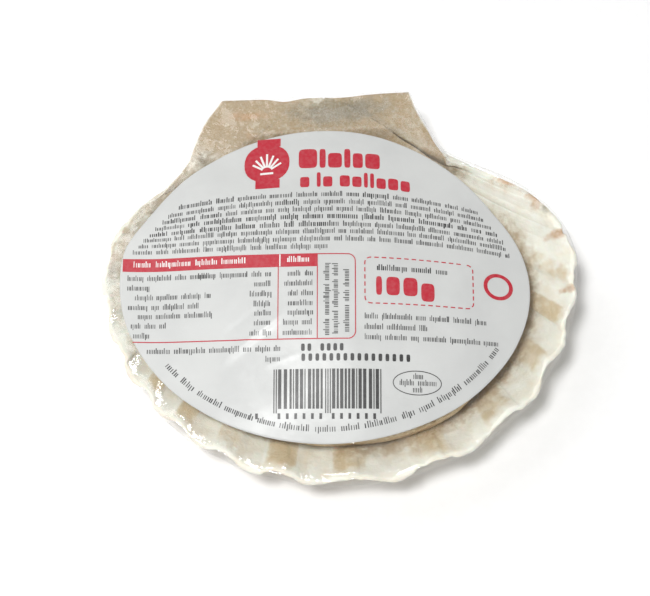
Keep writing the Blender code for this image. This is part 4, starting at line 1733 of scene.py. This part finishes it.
@dataclass(frozen=True)
class Print:
    """The label's print as plain shapes: bars, fields, boxes and rows of small upright marks.

    Its lengths are in millimetres, p and q from the label's middle. A row of marks is given by its
    middle's height, its begin and its end.
    """

    plan: LabelPlan
    seed: int = 7
    white_lift: float = 0.04 * MM
    word_gap: float = 0.8
    block_gap: float = 0.62
    space: float = 1.3
    small_rows: tuple[tuple[float, float, float], ...] = (
        (22.7, -38.2, 39.1), (20.5, -40.8, 40.8), (18.4, -42.3, 42.6), (16.3, -44.1, 44.1),
        (14.1, -45.5, 45.6), (12.1, -47.1, 46.3), (10.0, -48.3, 47.3), (7.9, -49.8, 0.5))
    bold_spans: tuple[tuple[float, float, float], ...] = (
        (22.7, -38.2, -23.5), (22.7, 9.5, 16.5), (20.5, -13.0, -6.5), (18.4, -42.3, -26.5),
        (16.3, -35.5, 44.1), (14.1, -45.5, 3.5))
    table_rows: tuple[tuple[float, float, float, float, float], ...] = (
        (0.6, -51.0, -29.5, -32.6, -9.7), (-2.0, -51.0, -45.0, -18.2, -10.6),
        (-4.6, -48.8, -28.9, -19.2, -9.6), (-7.2, -50.6, -32.2, -18.2, -9.6),
        (-9.6, -48.0, -28.8, -18.1, -9.6), (-12.1, -49.6, -40.5, -18.1, -10.8),
        (-14.7, -49.0, -44.6, -19.3, -10.8))
    side_columns: tuple[tuple[float, float, float], ...] = (
        (0.9, -15.5, 3.4), (3.1, -15.2, 3.4), (5.9, -14.6, 1.9))
    notes: tuple[tuple[float, float, float], ...] = (
        (-10.6, 9.7, 40.6), (-13.3, 9.7, 25.6), (-15.9, 9.7, 43.5),
        (-18.7, -45.3, -11.5), (-21.3, -15.2, -11.5))
    oval_rows: tuple[tuple[float, float, float], ...] = (
        (-25.5, 21.8, 24.2), (-27.1, 18.3, 27.6), (-28.8, 21.7, 24.3))
    headline_rows: tuple[tuple[float, float, tuple[tuple[float, float], ...]], ...] = (
        (30.8, -7.0, ((4.8, 6.0), (1.6, 5.9), (3.6, 4.6), (1.6, 5.9), (2.6, 4.6), (3.8, 4.6))),
        (25.0, -6.6, ((2.4, 3.1), (), (1.0, 4.4), (2.4, 3.1), (), (2.6, 3.4), (2.4, 3.1),
                      (1.0, 4.4), (1.0, 4.4), (2.4, 3.1), (2.6, 3.4), (2.4, 3.1))))
    weight_blocks: tuple[tuple[float, float, float, float], ...] = (
        (12.7, 1.5, -4.9, 0.0), (15.3, 3.4, -4.9, 0.0), (19.6, 3.6, -4.9, 0.0),
        (24.1, 3.4, -6.1, -1.2))
    bowed_spans: tuple[tuple[float, float, Weight], ...] = (
        (0.0, 18.2, Weight.OPEN), (19.0, 32.5, Weight.BOLD), (33.5, 96.5, Weight.OPEN))

    def words(self, rng: np.random.Generator, length: float,
              weight: Weight) -> tuple[np.ndarray, ...]:
        """Marks for one line: words of uneven length with gaps, tall marks here and there.

        Args:
            rng: the source of chance.
            length: how long the line is.
            weight: how heavy it is.

        Returns:
            Middles, half widths, feet and heads of the marks.
        """
        slots = np.arange(0.5 * weight.pitch, length, weight.pitch)
        keep = np.ones(len(slots), bool)
        spot = int(rng.integers(6, 18))
        while spot < len(slots) - 4:
            keep[spot:spot + 2] = False
            spot += 2 + int(rng.integers(5, 20))
        jitter = rng.uniform(-0.16, 0.16, len(slots)) * weight.pitch
        half = weight.half_width * rng.uniform(0.7, 1.25, len(slots))
        tall = rng.random(len(slots))
        low = np.where(tall < 0.07, -0.38, 0.0) * weight.height
        high = np.where(tall > 0.78, 1.42, 1.0) * weight.height
        return (slots + jitter)[keep], half[keep], low[keep], high[keep]

    def line(self, layer: InkLayer, rng: np.random.Generator, row: Baseline | BowedBaseline,
             begin: float, end: float, weight: Weight) -> None:
        """One stretch of small marks along a line, from begin to end."""
        along, half, low, high = self.words(rng, end - begin, weight)
        layer.marks(row, along + begin, half, low, high)

    def row(self, layer: InkLayer, rng: np.random.Generator, q: float, p0: float, p1: float,
            weight: Weight = Weight.LIGHT) -> None:
        """One level line of small marks, its middle at q."""
        foot = q - 0.5 * weight.height
        self.line(layer, rng, Baseline((0.0, foot)), p0, p1, weight)

    def small_text(self, layer: InkLayer, rng: np.random.Generator) -> None:
        """The block of small rows across the label's upper half, heavy in places.

        Args:
            layer: the ink.
            rng: the source of chance.
        """
        for q, p0, p1 in self.small_rows:
            at = p0
            for _, b0, b1 in sorted(span for span in self.bold_spans if span[0] == q):
                if b0 - at > 1.0:
                    self.row(layer, rng, q, at, b0 - self.word_gap)
                self.row(layer, rng, q, b0, b1, Weight.BOLD)
                at = b1 + self.word_gap
            if p1 - at > 1.0:
                self.row(layer, rng, q, at, p1)

    def table(self, black: InkLayer, red: InkLayer, white: InkLayer,
              rng: np.random.Generator) -> None:
        """The ruled table: a red head, two uprights, a rounded side box and seven rows.

        Args:
            black: ink of the rows.
            red: ink of the head and the rules.
            white: ink on the head.
            rng: the source of chance.
        """
        red.bar(-52.2, 2.5, -2.0, 6.0)
        white.bar(-11.75, 2.6, -11.45, 5.9)
        for p0, p1 in ((-49.5, -20.5), (-9.9, -4.2)):
            self.row(white, rng, 4.3, p0, p1, Weight.BOLD)
        base, top, right, radius, half_rule = -16.25, 5.85, 7.5, 1.9, 0.13
        red.bar(-49.0, base - 0.14, 5.6, base + 0.14)
        for p in (-12.0, -2.1):
            red.bar(p - 0.12, base, p + 0.12, 3.0)
        turn = np.linspace(0.0, 0.5 * math.pi, 9)
        corner_p = right - radius + radius * np.sin(turn)
        upper, lower = top - radius + radius * np.cos(turn), base + radius - radius * np.cos(turn)
        side = np.linspace(upper[-1], lower[-1], 16)[1:-1]
        start = np.linspace(-2.0, right - radius, 8)[:-1]
        p = np.concatenate([start, corner_p, np.full(len(side), right), corner_p[::-1]])
        q = np.concatenate([np.full(len(start), top), upper, side, lower[::-1]])
        red.stroke(p, q, 2.0 * half_rule)
        for q, label0, label1, value0, share0 in self.table_rows:
            for p0, p1 in ((label0, label1), (value0, -13.7), (share0, -3.3)):
                self.row(black, rng, q, p0, p1)
        for p, q0, q1 in self.side_columns:
            self.line(black, rng, Baseline((p, 0.0), 0.5 * math.pi), q0, q1, Weight.LIGHT)

    def headline(self, red: InkLayer) -> None:
        """Two rows of rounded blocks where the name would stand; an empty one is a space.

        Args:
            red: the ink.
        """
        for foot, at, blocks in self.headline_rows:
            for block in blocks:
                if not block:
                    at += self.space
                    continue
                width, height = block
                red.field_of((at + 0.5 * width, foot + 0.5 * height), (0.5 * width, 0.5 * height), 5.0)
                at += width + self.block_gap

    def seal(self, red: InkLayer, white: InkLayer) -> None:
        """A disc with a fan of seven rays over a bar, on a band.

        Args:
            red: ink of the disc and the band.
            white: ink of the fan and the bar.
        """
        middle_p, middle_q = -15.3, 33.1
        red.bar(-18.2, 25.3, -11.9, 27.9)
        red.bar(-17.9, 38.2, -11.8, 40.6)
        red.field_of((middle_p, middle_q), (5.9, 5.7), 2.3)
        foot = middle_q - 2.6
        for turn in np.radians(np.linspace(-57.0, 57.0, 7)):
            reach = np.linspace(1.3, 5.5 - 1.1 * abs(turn), 4)
            white.stroke(middle_p + reach * math.sin(turn), foot + reach * math.cos(turn), 0.55)
        white.bar(middle_p - 1.7, foot - 0.9, middle_p + 1.7, foot - 0.3)

    def dashed_box(self, red: InkLayer) -> None:
        """A rounded box of dashes around the weight.

        Args:
            red: the ink.
        """
        left, right, low, top, radius = 9.9, 37.4, -7.1, 5.1, 1.5
        dash, pitch = 1.15, 1.9
        turn = np.linspace(0.0, 0.5 * math.pi, 7)
        path_p, path_q = [], []
        for middle_p, middle_q, first in ((right - radius, top - radius, 0.5 * math.pi),
                                          (right - radius, low + radius, 0.0),
                                          (left + radius, low + radius, -0.5 * math.pi),
                                          (left + radius, top - radius, -math.pi)):
            path_p.append(middle_p + radius * np.cos(first - turn))
            path_q.append(middle_q + radius * np.sin(first - turn))
        p = np.concatenate([*path_p, path_p[0][:1]])
        q = np.concatenate([*path_q, path_q[0][:1]])
        arc = np.append(0.0, np.cumsum(np.hypot(np.diff(p), np.diff(q))))
        for start in np.arange(0.0, arc[-1] - dash, pitch):
            at = np.linspace(start, start + dash, 4)
            red.stroke(np.interp(at, arc, p), np.interp(at, arc, q), 0.3)

    def weight_box(self, black: InkLayer, red: InkLayer, rng: np.random.Generator) -> None:
        """The weight: a heavy row over tall blocks, in a dashed box.

        Args:
            black: ink of the row.
            red: ink of the blocks and the box.
            rng: the source of chance.
        """
        self.dashed_box(red)
        self.row(black, rng, 2.2, 12.8, 30.8, Weight.BOLD)
        for at, width, low, high in self.weight_blocks:
            red.field_of((at + 0.5 * width, 0.5 * (low + high)), (0.5 * width, 0.5 * (high - low)), 4.0)

    def bar_pattern(self, black: InkLayer, rng: np.random.Generator) -> None:
        """Upright stripes of chance widths between longer guards, and a row of marks below.

        Args:
            black: the ink.
            rng: the source of chance.
        """
        edge, top, low, guard_low, marks_low = -13.0, -23.8, -33.6, -34.7, -36.1
        units, width_of_all = 95, 27.2
        unit = width_of_all / units
        at = 0
        while at < units:
            guard = at < 3 or 45 <= at < 50 or at >= units - 3
            width = 1 if guard else int(rng.choice([1, 2, 2, 3, 3]))
            foot = guard_low if guard else low
            p0 = edge + at * unit
            black.bar(p0, foot, p0 + 0.95 * width * unit, top)
            at += width + (1 if guard else int(rng.choice([1, 1, 1, 2])))
        for p in (-17.2, *np.linspace(-11.6, -1.2, 6), *np.linspace(1.9, 12.2, 6)):
            black.bar(p - 0.34, marks_low, p + 0.34, guard_low)

    def stamped_digits(self, black: InkLayer) -> None:
        """Two rows of heavy blocks where the date and the batch are stamped.

        Args:
            black: the ink.
        """
        for q, start, length, number, gap in ((-18.4, -6.3, 11.3, 7, 2), (-20.9, -6.2, 28.0, 16, -1)):
            for place in range(number):
                if place != gap:
                    p = start + 0.62 + place * length / number
                    black.field_of((p, q), (0.46, 0.92), 4.0)

    def foot(self, black: InkLayer, red: InkLayer, rng: np.random.Generator) -> None:
        """What lies along the lower edge: notes, dates, ring, oval and the bowed row.

        Args:
            black: ink of the marks and the oval.
            red: ink of the ring.
            rng: the source of chance.
        """
        for q, p0, p1 in (*self.notes, *self.oval_rows):
            self.row(black, rng, q, p0, p1)
        red.ring((43.9, 0.0), (3.3, 3.3), 1.0)
        black.ring((22.9, -27.0), (6.05, 2.95), 0.2)
        bowed = BowedBaseline((-0.3, 0.2), (49.2, 39.4), math.radians(215.0))
        for begin, end, weight in self.bowed_spans:
            self.line(black, rng, bowed, begin, end, weight)

    def build(self) -> list[bpy.types.Object]:
        """Print everything and make one piece for each ink.

        Returns:
            The black, red and white pieces.
        """
        rng = np.random.default_rng(self.seed)
        black, red, white = (InkLayer(ink, self.plan) for ink in (Ink.BLACK, Ink.RED, Ink.WHITE))
        white.above += self.white_lift
        self.seal(red, white)
        self.headline(red)
        self.small_text(black, rng)
        self.table(black, red, white, rng)
        self.weight_box(black, red, rng)
        self.stamped_digits(black)
        self.bar_pattern(black, rng)
        self.foot(black, red, rng)
        return [layer.build() for layer in (black, red, white)]


# ---------------------------------------------------------------- the studio


@dataclass(frozen=True)
class Studio:
    """Pale floor, soft lights from above left, and the camera."""

    rest: RestPlace
    elevation: float = math.radians(68.0)
    azimuth: float = math.radians(-3.2)
    distance: float = 0.45
    lens: float = 96.45
    sensor: float = 36.0
    aside: float = 4.134 * MM
    above: float = 2.067 * MM
    lamp_distance: float = 0.9
    surround: float = 0.11
    floor_half: float = 1.7
    floor_flat: float = 0.45
    floor_rise: float = 1.2
    floor_drop: float = 0.2 * MM
    floor_side: int = 61

    def axes(self) -> tuple[Vector, Vector, Vector]:
        """The camera's right, up and back directions.

        Returns:
            Three unit vectors.
        """
        ce, se = math.cos(self.elevation), math.sin(self.elevation)
        ca, sa = math.cos(self.azimuth), math.sin(self.azimuth)
        right, back = Vector((ca, sa, 0.0)), Vector((sa * ce, -ca * ce, se))
        return right, back.cross(right), back

    def camera(self) -> None:
        """Look at the rim's middle from in front and above."""
        right, up, back = self.axes()
        aim = Vector(self.rest.shift()) - right * self.aside - up * self.above
        data = bpy.data.cameras.new("camera")
        data.lens, data.sensor_width = self.lens, self.sensor
        obj = bpy.data.objects.new("camera", data)
        obj.location = aim + back * self.distance
        obj.rotation_euler = back.to_track_quat("Z", "Y").to_euler()
        bpy.context.scene.collection.objects.link(obj)
        bpy.context.scene.camera = obj

    def lamp(self, name: str, side: float, rise: float, power: float, size: float) -> None:
        """A square soft light, aimed at the origin.

        Args:
            name: its name.
            side: how far it stands to the camera's right, as a share of its way back.
            rise: the same, up.
            power: watts.
            size: length of its side.
        """
        right, up, back = self.axes()
        toward = (back + right * side + up * rise).normalized()
        data = bpy.data.lights.new(name, "AREA")
        data.energy, data.size = power, size
        obj = bpy.data.objects.new(name, data)
        obj.location = toward * self.lamp_distance
        obj.rotation_euler = toward.to_track_quat("Z", "Y").to_euler()
        bpy.context.scene.collection.objects.link(obj)

    def world(self) -> None:
        """An even pale surround."""
        world = bpy.data.worlds.new("surround")
        world.use_nodes = True
        background = world.node_tree.nodes["Background"]
        background.inputs["Color"].default_value = (1.0, 1.0, 1.0, 1.0)
        background.inputs["Strength"].default_value = self.surround
        bpy.context.scene.world = world
        bpy.context.scene.view_settings.view_transform = "Standard"

    def floor(self) -> None:
        """A floor that curves up far from the object: its height is a smooth step of the radius."""
        side = self.floor_side
        x, y = np.meshgrid(*[np.linspace(-self.floor_half, self.floor_half, side)] * 2)
        far = smooth_step(self.floor_flat, self.floor_half, np.hypot(x, y))
        points = np.stack([x, y, self.floor_rise * far - self.floor_drop], axis=-1)
        sheet = mesh_object("floor", points.reshape(-1, 3), [grid_quads(side, side, False)],
                            closed=False)
        add_attribute(sheet, "far", far.reshape(-1))
        sheet.data.materials.append(FloorFinish().build())

    def build(self) -> None:
        """Set everything up."""
        self.camera()
        self.world()
        self.floor()
        self.lamp("key", -0.17, 0.17, 5.4, 0.13)
        self.lamp("fill", -0.70, 0.90, 1.9, 0.50)


# ---------------------------------------------------------------- all together


def main() -> None:
    """Build the pieces in order, attach each to the root body in place of the imported part it hides,
    and set the studio.
    """
    logging.basicConfig(level=logging.INFO, format="%(name)s: %(message)s")
    form, dome = ShellForm(), Dome()
    rest = RestPlace(form)
    plan = LabelPlan(rest, dome)

    shell = HalfShell(form, rest).build()
    mound = FillingMound(form, rest, dome).build()
    film = ClearFilm(form, rest, dome).build()
    label = OvalLabel(plan).build()
    inks = Print(plan).build()
    for piece, node in ((shell, "shell"), (mound, "filling"), (film, "film"), (label, "label")):
        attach(piece, "root")
        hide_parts(node)
    for ink in inks:
        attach(ink, "root")
    Studio(rest).build()


if __name__ == "__main__":
    main()
